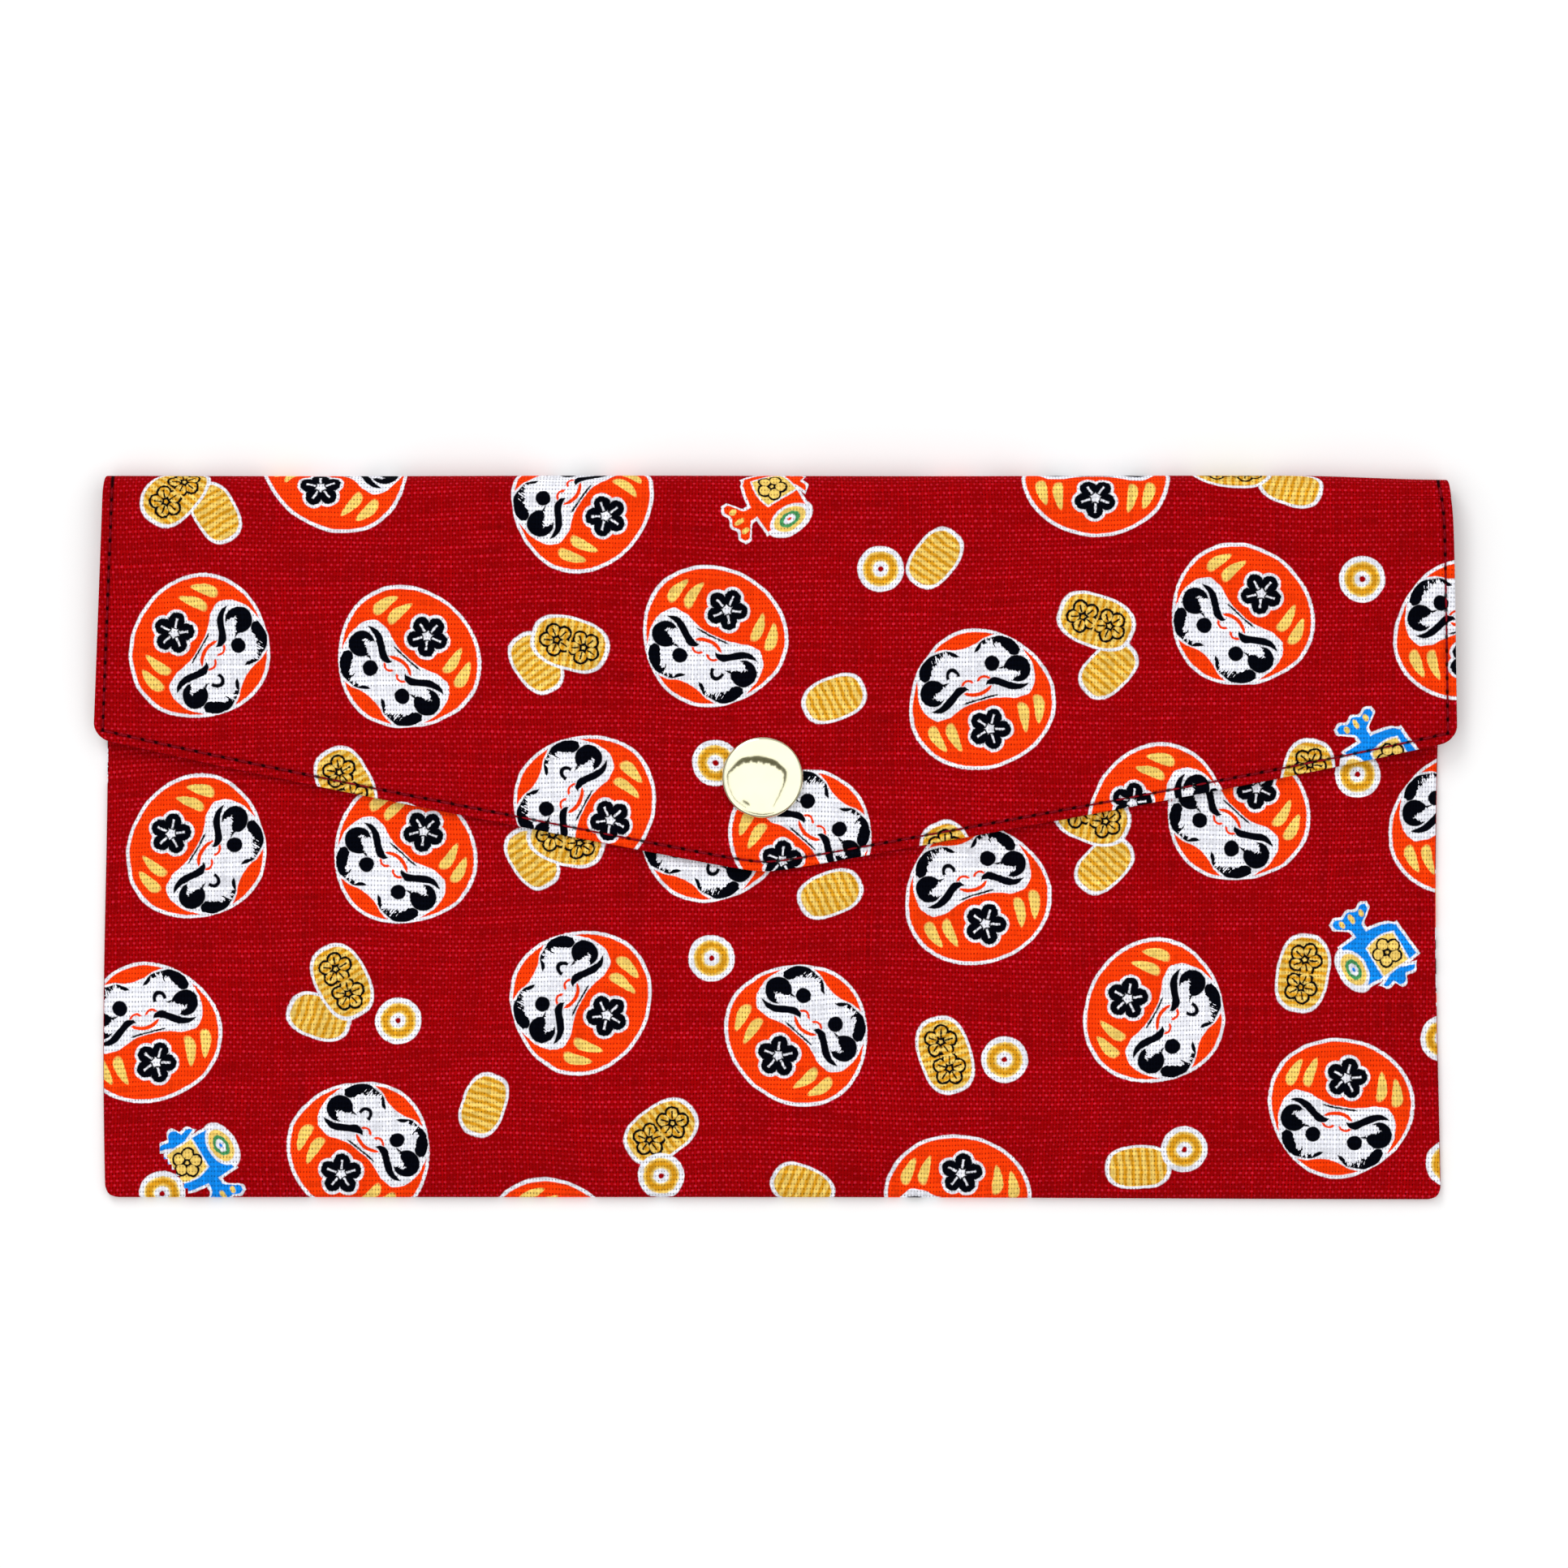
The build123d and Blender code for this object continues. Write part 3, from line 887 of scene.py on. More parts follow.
class Term:
    """A number in a shader, so that a pattern can be written as a formula."""

    def __init__(self, tree, socket):
        self.tree, self.socket = tree, socket

    def _math(self, operation, *others, clamp=False):
        node = self.tree.nodes.new("ShaderNodeMath")
        node.operation, node.use_clamp = operation, clamp
        for slot, value in zip(node.inputs, (self, *others)):
            if isinstance(value, Term):
                self.tree.links.new(value.socket, slot)
            else:
                slot.default_value = value
        return Term(self.tree, node.outputs[0])

    def __add__(self, other):
        return self._math("ADD", other)

    def __sub__(self, other):
        return self._math("SUBTRACT", other)

    def __mul__(self, other):
        return self._math("MULTIPLY", other)

    def __truediv__(self, other):
        return self._math("DIVIDE", other)

    def __neg__(self):
        return self._math("MULTIPLY", -1.0)

    __radd__, __rmul__ = __add__, __mul__

    def __rsub__(self, other):
        return self._math("MULTIPLY_ADD", -1.0, other)

    def abs(self):
        return self._math("ABSOLUTE")

    def min(self, other):
        return self._math("MINIMUM", other)

    def max(self, other):
        return self._math("MAXIMUM", other)

    def power(self, other):
        return self._math("POWER", other)

    def sine(self):
        return self._math("SINE")

    def floor(self):
        return self._math("FLOOR")

    def fraction(self):
        return self._math("FRACT")

    def above(self, other):
        return self._math("GREATER_THAN", other)

    def inside(self, blur):
        """1 where this distance is below 0, 0 above it, blurred over that width."""
        return self._math("MULTIPLY_ADD", -1.0 / blur, 0.5, clamp=True)

    def curve(self, knots, reach=10.0):
        """A smooth curve through (distance, value) knots, both within -reach to reach."""
        node = self.tree.nodes.new("ShaderNodeFloatCurve")
        line = node.mapping.curves[0]
        knots = [((k[0]) / reach, (k[1] + reach) / (2 * reach)) for k in knots]
        line.points[0].location, line.points[1].location = knots[0], knots[-1]
        for knot in knots[1:-1]:
            line.points.new(*knot)
        for point in line.points:
            point.handle_type = "AUTO_CLAMPED"
        node.mapping.extend = "HORIZONTAL"
        node.mapping.update()
        share = self * (1 / reach)
        self.tree.links.new(share.socket, node.inputs["Value"])
        out = Term(self.tree, node.outputs[0])
        return out._math("MULTIPLY_ADD", 2 * reach, -reach)


EDGE = 0.13  # how far a printed edge bleeds, in millimetres


def distance(x, y):
    """Distance of a point from the origin."""
    return (x * x + y * y).power(0.5)


def turned(x, y, degrees):
    """The point in axes that are turned counter-clockwise."""
    c, s = math.cos(math.radians(degrees)), math.sin(math.radians(degrees))
    return x * c + y * s, y * c - x * s


def oval(x, y, half_x, half_y):
    """About the distance outside an oval."""
    return (distance(x * (1 / half_x), y * (1 / half_y)) - 1.0) * min(half_x, half_y)


def noise(tree, vector, scale, detail=2.0, roughness=0.5):
    node = tree.nodes.new("ShaderNodeTexNoise")
    node.inputs["Scale"].default_value = scale
    node.inputs["Detail"].default_value = detail
    node.inputs["Roughness"].default_value = roughness
    tree.links.new(vector, node.inputs["Vector"])
    return Term(tree, node.outputs[0])


def pair(tree, x, y, z=0.0):
    """A vector from two or three numbers."""
    node = tree.nodes.new("ShaderNodeCombineXYZ")
    for slot, value in zip(node.inputs, (x, y, z)):
        if isinstance(value, Term):
            tree.links.new(value.socket, slot)
        else:
            slot.default_value = value
    return node.outputs[0]


def split(tree, vector):
    node = tree.nodes.new("ShaderNodeSeparateXYZ")
    tree.links.new(vector, node.inputs[0])
    return [Term(tree, out) for out in node.outputs]


def coat(tree, under, colour, mask):
    """Paints a colour over another where the mask is 1."""
    node = tree.nodes.new("ShaderNodeMix")
    node.data_type = "RGBA"
    tree.links.new(mask.socket if isinstance(mask, Term) else mask, node.inputs[0])
    for slot, value in ((node.inputs[6], under), (node.inputs[7], colour)):
        if isinstance(value, bpy.types.NodeSocket):
            tree.links.new(value, slot)
        else:
            slot.default_value = (*value, 1.0)
    return node.outputs[2]


def new_group(name, inputs, outputs):
    """An empty node group with those named sockets, and its input and output nodes."""
    tree = bpy.data.node_groups.new(name, "ShaderNodeTree")
    for side, sockets in (("INPUT", inputs), ("OUTPUT", outputs)):
        for label, kind in sockets:
            tree.interface.new_socket(label, in_out=side, socket_type=f"NodeSocket{kind}")
    start, end = tree.nodes.new("NodeGroupInput"), tree.nodes.new("NodeGroupOutput")
    return tree, start.outputs, end.inputs


def use_group(tree, group, **inputs):
    """Places a node group, with its inputs linked to sockets or set to values."""
    node = tree.nodes.new("ShaderNodeGroup")
    node.node_tree = group
    for label, value in inputs.items():
        slot = node.inputs[label.replace("_", " ")]
        value = value.socket if isinstance(value, Term) else value
        if isinstance(value, bpy.types.NodeSocket):
            tree.links.new(value, slot)
        elif hasattr(value, "__len__") and slot.type == "RGBA":
            slot.default_value = (*value, 1.0)
        else:
            slot.default_value = value
    return node.outputs


def blossom(x, y, size):
    """About the distance outside a five-petalled blossom, and the distance from a petal's
    middle line. The angle is folded into one petal's fifth of the turn."""
    r = distance(x, y)
    angle = Term(x.tree, x.socket)._math("ARCTAN2", y)
    fifth = 2 * math.pi / 5
    folded = (angle * (1 / fifth)).fraction() * fifth - fifth / 2
    along, across = r * folded._math("COSINE"), r * folded.sine()
    petal = distance(along - 0.62 * size, across) - 0.43 * size
    return petal, across, r


def wandering(tree, cloth, x, y):
    """A place moved by slow noise, as a hand-drawn line wanders, and by noise at the scale of
    the yarns, as ink spreads."""
    slow = noise(tree, cloth, 0.35, 1.0) - 0.5
    yarns = noise(tree, cloth, 2.3, 1.0) - 0.5
    return x + slow * 0.35 + yarns * 0.20, y - slow * 0.30 + yarns * 0.14


def doll_group(colours):
    """A round paper doll in brush strokes: an orange body with a white rim, a broad white face
    with brows, cheek whorls and a moustache, pale strokes and a blossom on its belly. Right and
    left are drawn alike, from the distance off the middle, and each face's eyes by its kind."""
    tree, given, made = new_group(
        "Doll", [("Place", "Vector"), ("Cloth", "Vector")], [("Color", "Color"), ("Mask", "Float")]
    )
    x, y, kind = split(tree, given["Place"])
    x, y = wandering(tree, given["Cloth"], x, y)
    m = x.abs()
    hair = noise(tree, pair(tree, x * 3.1, y * 0.9), 1.0, 2.0, 0.6) - 0.5
    grit = noise(tree, pair(tree, x * 2.4, y * 2.4), 1.0, 3.0) - 0.5

    # Egg-shaped body: fuller below its middle than above it
    body = oval(x * (1.0 + y * 0.013 + y * y * 0.0006), y, 10.15, 9.75)
    mask = body.inside(EDGE)
    colour = coat(tree, colours.white, colours.doll, (body + 0.46).inside(EDGE))

    knots = [(0, 7.2), (1.5, 7.4), (3, 7.9), (4.6, 7.95), (6, 7.3), (7, 6.2), (7.5, 5.2)]
    face_top = m.curve(knots + [(8.1, 3.3), (8.5, 1.8), (10, -3)])
    knots = [(0, -0.35), (1.6, -0.4), (3.4, -0.85), (5, -1.35), (6.3, -1.35), (7.4, -0.6)]
    face_low = m.curve(knots + [(8.1, 0.5), (8.5, 1.8), (10, 5)])
    face = (y - face_top).max(face_low - y).max(oval((m - 4.0).max(0.0), y - 2.4, 4.25, 5.9))
    colour = coat(tree, colour, colours.white, face.inside(EDGE))

    # A brow: its upper line, and a lower line that is frayed like a dry brush
    knots = [(0.9, 6.2), (1.5, 6.9), (2.9, 7.65), (4.6, 7.65), (5.9, 7.1), (6.9, 6.0)]
    high = m.curve(knots + [(7.35, 4.6), (10, 0)])
    knots = [(0.9, 6.3), (1.6, 6.35), (2.6, 7.15), (3.3, 7.3), (4.2, 6.75), (5.0, 6.2), (5.45, 5.2)]
    low = m.curve(knots + [(5.9, 4.5), (6.7, 4.3), (7.2, 4.8), (10, 6)])
    fray = hair * 4.2 * (m - 2.0).min(5.8 - m).max(0.0).min(1.0)
    brow = (y - high).max(low - y + fray)
    colour = coat(tree, colour, colours.black, brow.inside(EDGE))

    # The moustache, and the cheek's whorl with a frayed notch in its inner side
    knots = [(1, 1.45), (1.7, 1.9), (2.7, 1.75), (3.7, 1.05), (4.8, 0.35), (6, 0.0)]
    lip = m.curve(knots + [(7.1, 0.15), (10, 1)])
    knots = [(1, -0.2), (1.35, 0.15), (2, 0.42), (3, 0.62), (4.2, 0.62), (5.3, 0.46), (6.5, 0.2)]
    lip = (y - lip).abs() - m.curve(knots + [(7.2, -0.1), (10, -3)])
    whorl = oval(m - 6.05, y - 2.5, 1.85, 1.85)
    tail = ((y - 3.05 + (m - 4.4) * 0.3).abs() - (m - 3.5) * 0.34).max(m - 6.0)
    notch = (y - 1.9 - hair * 1.6).abs() - (6.35 - m) * 0.5
    whorl = whorl.min(tail).max(-notch).max(0.26 - lip)
    colour = coat(tree, colour, colours.black, whorl.min(lip).inside(EDGE))

    eye = distance(m - 2.95, y - 4.2) - 1.06
    arc = ((distance(m - 2.75, (y - 3.95) * 0.8) - 0.74).abs() - 0.24).max(3.75 - y)
    winks = (kind * x).above(0.01)
    eye_mark = eye.inside(EDGE) * (1.0 - winks) + arc.inside(EDGE) * winks
    colour = coat(tree, colour, colours.black, eye_mark)

    nose = ((distance(m - 1.15, (y - 2.2) * 1.2) - 0.75).abs() - 0.19).max(2.35 - y)
    bow_width = m.curve([(0, 0.27), (1.3, 0.27), (2, 0.05), (2.3, -0.3), (10, -3)])
    bow = (y - (m * m * 0.17 + 0.62)).abs() - bow_width
    colour = coat(tree, colour, colours.doll, nose.min(bow).inside(EDGE))
    line_width = m.curve([(0, 0.11), (1.8, 0.14), (2.5, 0.0), (3, -0.5), (10, -3)])
    line = (y + 0.08 + m * 0.03).abs() - line_width
    colour = coat(tree, colour, colours.black, (line - grit * 0.3).inside(EDGE))

    petal, across, r = blossom(x, y + 4.35, 2.75)
    colour = coat(tree, colour, colours.white, (petal - 0.40).inside(EDGE))
    colour = coat(tree, colour, colours.black, (petal - grit * 0.35).inside(EDGE))
    vein = (across.abs() - 0.13).max(0.75 - r).max(r - 2.0)
    heart = (r - 0.42).min(vein)
    colour = coat(tree, colour, colours.white, (heart - grit * 0.2).inside(EDGE))

    # Two leaves a side, round above and pointed below
    for middle, lean, size in (((5.1, -4.2), -10, (0.74, 2.05)), ((7.35, -3.75), -16, (0.80, 1.95))):
        lx, ly = turned(m - middle[0], y - middle[1], lean)
        leaf = oval(lx * (1.12 - ly * 0.22) + ly * ly * 0.05, ly, *size)
        colour = coat(tree, colour, colours.straw, leaf.inside(EDGE))
    tree.links.new(colour, made["Color"])
    tree.links.new(mask.socket, made["Mask"])
    return tree


def long_coin_group(colours):
    """A long oval coin with a white rim and hammered bars across it, larger and with two small
    blossoms stamped on it where its kind is 1."""
    tree, given, made = new_group(
        "Long coin",
        [("Place", "Vector"), ("Cloth", "Vector")],
        [("Color", "Color"), ("Mask", "Float")],
    )
    x, y, kind = split(tree, given["Place"])
    shake = noise(tree, given["Cloth"], 0.6, 2.0) - 0.5
    x, y = wandering(tree, given["Cloth"], x, y)
    size = kind * 0.2 + 1.0
    u, v = x / size, y / size
    ends = (u * (1 / 4.55)).abs().power(2.6)
    sides = (v * (1 / 3.05)).abs().power(2.6)
    edge = ((ends + sides).power(1 / 2.6) - 1.0) * 3.2 * size
    bars = (x * (2 * math.pi / 1.1) + y * 0.25 + shake * 3.0).sine()
    grain = noise(tree, given["Cloth"], 2.2, 2.0) - 0.5
    bars = (bars * 0.75 + 0.45 + grain * 1.1)._math("MULTIPLY", 1.0, clamp=True)
    gold = coat(tree, colours.straw, colours.ochre, bars)
    colour = coat(tree, colours.white, gold, (edge + 0.38).inside(EDGE))
    petal, across, r = blossom(x.abs() - 1.95, y, 2.15)
    mark = ((petal.abs() - 0.17).min(across.abs().max(r - 1.6).max(0.7 - r) - 0.12)).max(-r + 0.2)
    ring = (r - 0.42).abs() - 0.13
    mark = mark.min(ring).max(0.12 - x.abs())
    colour = coat(tree, colour, colours.black, (mark - grain * 0.25).inside(EDGE) * kind)
    tree.links.new(colour, made["Color"])
    tree.links.new(edge.inside(EDGE).socket, made["Mask"])
    return tree


def round_group(colours):
    """A round coin where the kind is 0, and otherwise a mallet: a drum with a ringed face, a
    label between two bands, and a handle that flares at one end."""
    tree, given, made = new_group(
        "Round coin and mallet",
        [("Place", "Vector"), ("Cloth", "Vector")],
        [("Color", "Color"), ("Mask", "Float")],
    )
    x, y, kind = split(tree, given["Place"])
    grain = noise(tree, given["Cloth"], 2.2, 2.0) - 0.5
    x, y = wandering(tree, given["Cloth"], x, y)
    r = distance(x, y)
    ring = (r - 1.78).abs()
    colour = coat(tree, colours.white, colours.straw, (ring - 0.70 + grain * 0.3).inside(0.2))
    colour = coat(tree, colour, colours.ochre, (ring - 0.42 + grain * 0.6).inside(0.3))
    colour = coat(tree, colour, colours.ground, (r - 0.40 - grain * 0.3).inside(EDGE))
    coin_mask = (r - 3.2).inside(EDGE)

    main = coat(tree, colours.doll, colours.blue, (kind - 1.0)._math("MULTIPLY", 1.0, clamp=True))
    # Drum, its round end, the tasselled top of the handle and its scalloped tail
    knots = [(-10, -1.0), (-4.2, -1.0), (-3.4, -1.6), (-1.5, -2.2), (1, -2.45), (4.2, -2.4)]
    low = x.curve(knots + [(10, -2)])
    drum = (y - 4.2 + x * x * 0.012).max(low - y).max((x + y * 0.06 + 0.15).abs() - 4.05)
    end = oval(x - 4.2, y - 1.1, 1.75, 2.85)
    side = (x - 0.65).abs()
    knots = [(-10, 2.7), (-5.9, 2.7), (-5.2, 2.75), (-4.4, 1.9), (-3.5, 0.85), (-2.4, 0.75)]
    flare = y.curve(knots + [(10, 0.7)])
    scallop = (side * 3.0)._math("COSINE") * 0.22
    tail = (side - flare).max(-5.75 - y - scallop).max(y)
    spread = (x + 0.7).abs()
    knots = [(0, 6.55), (0.55, 6.3), (1.1, 5.45), (1.9, 5.6), (2.5, 5.4), (2.8, 4.9), (10, 0)]
    crown = spread.curve(knots)
    cord = (spread - 1.1).max(y - 5).max(4 - y)
    tassel = (y - crown).max(4.55 + (spread - 1.2).max(0.0) * 0.35 - y).min(cord)
    whole = drum.min(end).min(tail).min(tassel)
    mallet = coat(tree, colours.white, main, whole.inside(EDGE))
    label = (x + 1.05 - y * 0.04).abs() - 2.1
    label = label.max(y - 4.2 + x * x * 0.012).max(-0.75 - y + (x + 1) * (x + 1) * 0.1)
    mallet = coat(tree, mallet, colours.white, (label - 0.2).inside(EDGE))
    mallet = coat(tree, mallet, colours.straw, (label + 0.05).inside(EDGE))
    petal, _, far = blossom(x + 1.05, y - 1.65, 1.95)
    mark = (petal.abs() - 0.15).min((far - 0.35).abs() - 0.12)
    mallet = coat(tree, mallet, colours.black, (mark - grain * 0.25).inside(EDGE))
    mallet = coat(tree, mallet, colours.white, (end - 0.1).inside(EDGE))
    mallet = coat(tree, mallet, colours.straw, ((end + 0.55).abs() - 0.30).inside(EDGE))
    mallet = coat(tree, mallet, colours.green, ((end + 0.98).abs() - 0.20 - grain * 0.3).inside(EDGE))
    mallet = coat(tree, mallet, main, (end + 1.55).inside(EDGE))
    spots = oval(side - 1.55, y + 4.95, 0.36, 0.55).min(oval(side, y + 4.9, 0.36, 0.72))
    mallet = coat(tree, mallet, colours.straw, spots.inside(EDGE))
    mallet_mask = (whole - 0.40).inside(EDGE)

    is_mallet = kind.above(0.5)
    colour = coat(tree, colour, mallet, is_mallet)
    mask = coin_mask * (1.0 - is_mallet) + mallet_mask * is_mallet
    tree.links.new(colour, made["Color"])
    tree.links.new(mask.socket, made["Mask"])
    return tree


def weave_group():
    """Plain weave. A yarn's own profile is 1 - f^2 across its width; it rides over and under
    the others as a cosine along its length, and the height is the higher of the two yarns.
    Gaps are small slots at the corners between four crossings, crowns are where the weft rides highest,
    and each yarn has its own tone and slubs. The tone also holds a painted highlight, lighter where the
    yarns ride higher."""
    tree, given, made = new_group(
        "Plain weave",
        [("Cloth", "Vector"), ("Warp pitch", "Float"), ("Weft pitch", "Float")],
        [("Height", "Float"), ("Gap", "Float"), ("Crown", "Float"), ("Tone_and_highlight", "Float")],
    )
    u, v, _ = split(tree, given["Cloth"])
    drift = noise(tree, given["Cloth"], 0.03, 1.0) - 0.5
    fine = noise(tree, given["Cloth"], 0.8, 2.0) - 0.5
    u = u / Term(tree, given["Warp pitch"]) + drift * 5.0 + fine * 0.45
    v = v / Term(tree, given["Weft pitch"]) + drift * 4.0 - fine * 0.30
    iu, iv = u.floor(), v.floor()
    fu, fv = u.fraction() * 2.0 - 1.0, v.fraction() * 2.0 - 1.0
    warp_body, weft_body = 1.0 - fu * fu, 1.0 - fv * fv
    parity_u = (iu * math.pi)._math("COSINE")
    parity_v = (iv * math.pi)._math("COSINE")
    warp_ride = ((v - 0.5) * math.pi)._math("COSINE") * parity_u
    weft_ride = ((u - 0.5) * math.pi)._math("COSINE") * parity_v * -1.0
    slub_u = noise(tree, pair(tree, iu * 7.3, v * 0.06), 1.0, 1.0) - 0.5
    slub_v = noise(tree, pair(tree, u * 0.05, iv * 5.7, 3.0), 1.0, 1.0) - 0.5
    knots = noise(tree, pair(tree, u * 0.9, v * 0.9, 9.0), 1.0, 1.0) - 0.5
    warp = warp_body * (0.56 + slub_u * 0.5) + warp_ride * 0.42
    weft = weft_body * (0.62 + slub_v * 0.6) + weft_ride * 0.44
    height = warp.max(weft)
    corner = (fu.abs() - 0.62 + slub_u * 0.4).min((fv.abs() - 0.60 + slub_v * 0.4) * 0.9)
    gap = (corner + knots * 0.55)._math("MULTIPLY", 3.2, clamp=True)
    over = (weft - warp + 0.1).min(weft * weft_body - 0.66 + knots * 1.3)
    crown = over._math("MULTIPLY", 2.4, clamp=True)
    fibres = noise(tree, pair(tree, u * 1.6, v * 5.0, 5.0), 1.0, 2.0) - 0.5
    tone = slub_u * warp_body + slub_v * weft_body + knots * 0.45 + fibres * 0.35
    # Painted highlight: the tone is lighter where the yarns ride higher.
    tone = tone + (weft.max(warp) - 0.75) * 0.35
    for label, value in (("Height", height), ("Gap", gap), ("Crown", crown), ("Tone_and_highlight", tone)):
        tree.links.new(value.socket, made[label])
    return tree


def stitch_hole_group():
    """Masks of the needle holes and of a soft groove along a line of stitches, which the cotton darkens
    as painted shade and sinks in its bump. The place holds the distance from the line in millimetres
    and the number of stitches along it."""
    tree, given, made = new_group(
        "Needle holes",
        [("Place", "Vector"), ("Pitch", "Float")],
        [("Hole", "Float"), ("Groove", "Float")],
    )
    off, along, _ = split(tree, given["Place"])
    pitch = Term(tree, given["Pitch"])
    to_hole = ((along + 0.5).fraction() - 0.5) * pitch
    hole = oval(to_hole, off, 0.40, 0.20)
    groove = (off.abs() - 0.22).inside(0.5)
    tree.links.new(hole.inside(0.18).socket, made["Hole"])
    tree.links.new(groove.socket, made["Groove"])
    return tree


def new_material(name):
    material = bpy.data.materials.new(name)
    material.use_nodes = True
    tree = material.node_tree
    return material, tree, tree.nodes["Principled BSDF"]


def attribute(tree, name):
    node = tree.nodes.new("ShaderNodeAttribute")
    node.attribute_name = name
    return node.outputs["Vector"]


def bump(tree, height, depth, strength=1.0, normal=None):
    node = tree.nodes.new("ShaderNodeBump")
    node.inputs["Distance"].default_value = depth
    node.inputs["Strength"].default_value = strength
    tree.links.new(height.socket if isinstance(height, Term) else height, node.inputs["Height"])
    if normal is not None:
        tree.links.new(normal, node.inputs["Normal"])
    return node.outputs[0]


GROUPS = {}
MATERIALS = {}


def shared_group(name, make, *values):
    if name not in GROUPS:
        GROUPS[name] = make(*values)
    return GROUPS[name]


def cotton_material(name, colour_of, warp, weft, holes=False, stitch=1.9):
    """Woven cotton with those yarn pitches. colour_of(tree, cloth coordinates) gives its colour
    and where the print covers the ground."""
    material, tree, shader = new_material(name)
    cloth = tree.nodes.new("ShaderNodeUVMap")
    cloth.uv_map = "cloth"
    cloth = cloth.outputs[0]
    group = shared_group("weave", weave_group)
    weave = use_group(tree, group, Cloth=cloth, Warp_pitch=warp, Weft_pitch=weft)
    colour, cover = colour_of(tree, cloth)
    gap, crown, tone = (Term(tree, weave[k]) for k in ("Gap", "Crown", "Tone_and_highlight"))
    # A pinkish painted highlight lies on the yarn crowns of the ground, and the gaps lie in painted
    # shade.
    painted_crown_highlight = coat(tree, colour, (0.75, 0.05, 0.14), crown * 0.20 * (1.0 - cover))
    shade = tree.nodes.new("ShaderNodeHueSaturation")
    tree.links.new(painted_crown_highlight, shade.inputs["Color"])
    patches = noise(tree, cloth, 0.05, 3.0)
    # Painted light: the crowns are lightened as painted highlight and the gaps darkened as painted
    # shade. The tone carries a painted highlight on the higher yarns besides its random tone, and the
    # patches vary at random.
    value = (tone * 0.70 + crown * 0.18 + patches * 0.12 + 0.93) * (1.0 - gap * 0.78)
    tree.links.new(value.socket, shade.inputs["Value"])
    colour = shade.outputs[0]
    height = Term(tree, weave["Height"])
    if holes:
        marks = use_group(
            tree,
            shared_group("holes", stitch_hole_group),
            Place=attribute(tree, "stitch_line"),
            Pitch=stitch,
        )
        hole, groove = Term(tree, marks["Hole"]), Term(tree, marks["Groove"])
        # Painted shade: the needle holes and the groove along the stitches are darkened.
        colour = coat(tree, colour, (0.006, 0.0005, 0.001), (hole * 0.97 + groove * 0.25).min(0.97))
        height = height - hole * 1.2 - groove * 0.5
    tree.links.new(colour, shader.inputs["Base Color"])
    tree.links.new(bump(tree, height, 0.00009), shader.inputs["Normal"])
    rough = 0.88 - crown * 0.10
    tree.links.new(rough.socket, shader.inputs["Roughness"])
    shader.inputs["Specular IOR Level"].default_value = 0.02
    return material


def printed_cotton():
    """The printed outer cotton."""
    if "printed" in MATERIALS:
        return MATERIALS["printed"]
    colours = bpy.context.scene.pouch_print
    sizes = bpy.context.scene.pouch_cloth

    def figures(tree, cloth):
        colour, cover = None, None
        for attribute_name, key, make in (
            ("plain_coin", "long coin", long_coin_group),
            ("stamped_coin", "long coin", long_coin_group),
            ("round_figure", "round", round_group),
            ("doll", "doll", doll_group),
        ):
            drawn = use_group(
                tree,
                shared_group(key, make, colours),
                Place=attribute(tree, attribute_name),
                Cloth=cloth,
            )
            under = tuple(colours.ground) if colour is None else colour
            colour = coat(tree, under, drawn["Color"], drawn["Mask"])
            mask = Term(tree, drawn["Mask"])
            cover = mask if cover is None else cover.max(mask)
        return colour, cover

    MATERIALS["printed"] = cotton_material(
        "printed_cotton",
        figures,
        sizes.warp / MM,
        sizes.weft / MM,
        holes=True,
        stitch=sizes.stitch / MM,
    )
    return MATERIALS["printed"]


def lining_cotton():
    """The plain dark red lining, a finer weave."""
    if "lining" not in MATERIALS:

        def plain(tree, cloth):
            tone = noise(tree, cloth, 0.09, 3.0)
            return coat(tree, (0.24, 0.002, 0.008), (0.32, 0.004, 0.014), tone), tone * 0.0

        MATERIALS["lining"] = cotton_material("lining_cotton", plain, 0.32, 0.36)
    return MATERIALS["lining"]


def interfacing_felt():
    """Off-white non-woven: short fibres in every direction, from stretched noise."""
    if "felt" in MATERIALS:
        return MATERIALS["felt"]
    material, tree, shader = new_material("interfacing")
    place = tree.nodes.new("ShaderNodeTexCoord").outputs["Object"]
    fibres = noise(tree, place, 2600.0, 4.0, 0.7)
    cloud = noise(tree, place, 160.0, 3.0)
    share = (fibres + cloud) * 0.5
    colour = coat(tree, (0.62, 0.60, 0.56), (0.84, 0.83, 0.80), share)
    tree.links.new(colour, shader.inputs["Base Color"])
    tree.links.new(bump(tree, fibres, 0.00006), shader.inputs["Normal"])
    shader.inputs["Roughness"].default_value = 0.95
    MATERIALS["felt"] = material
    return material


def thread_material():
    """Dark crimson spun thread: fine streaks and fuzz in its roughness and colour."""
    if "thread" in MATERIALS:
        return MATERIALS["thread"]
    material, tree, shader = new_material("thread")
    place = tree.nodes.new("ShaderNodeTexCoord").outputs["Object"]
    streaks = noise(tree, place, 5200.0, 3.0, 0.6)
    length = noise(tree, place, 420.0, 2.0)
    share = (streaks * 1.4 + length * 0.6) - 0.5
    colour = coat(tree, (0.06, 0.0006, 0.002), (0.36, 0.002, 0.014), share)
    tree.links.new(colour, shader.inputs["Base Color"])
    tree.links.new(bump(tree, streaks, 0.00004), shader.inputs["Normal"])
    rough = streaks * 0.2 + 0.62
    tree.links.new(rough.socket, shader.inputs["Roughness"])
    shader.inputs["Specular IOR Level"].default_value = 0.08
    MATERIALS["thread"] = material
    return material


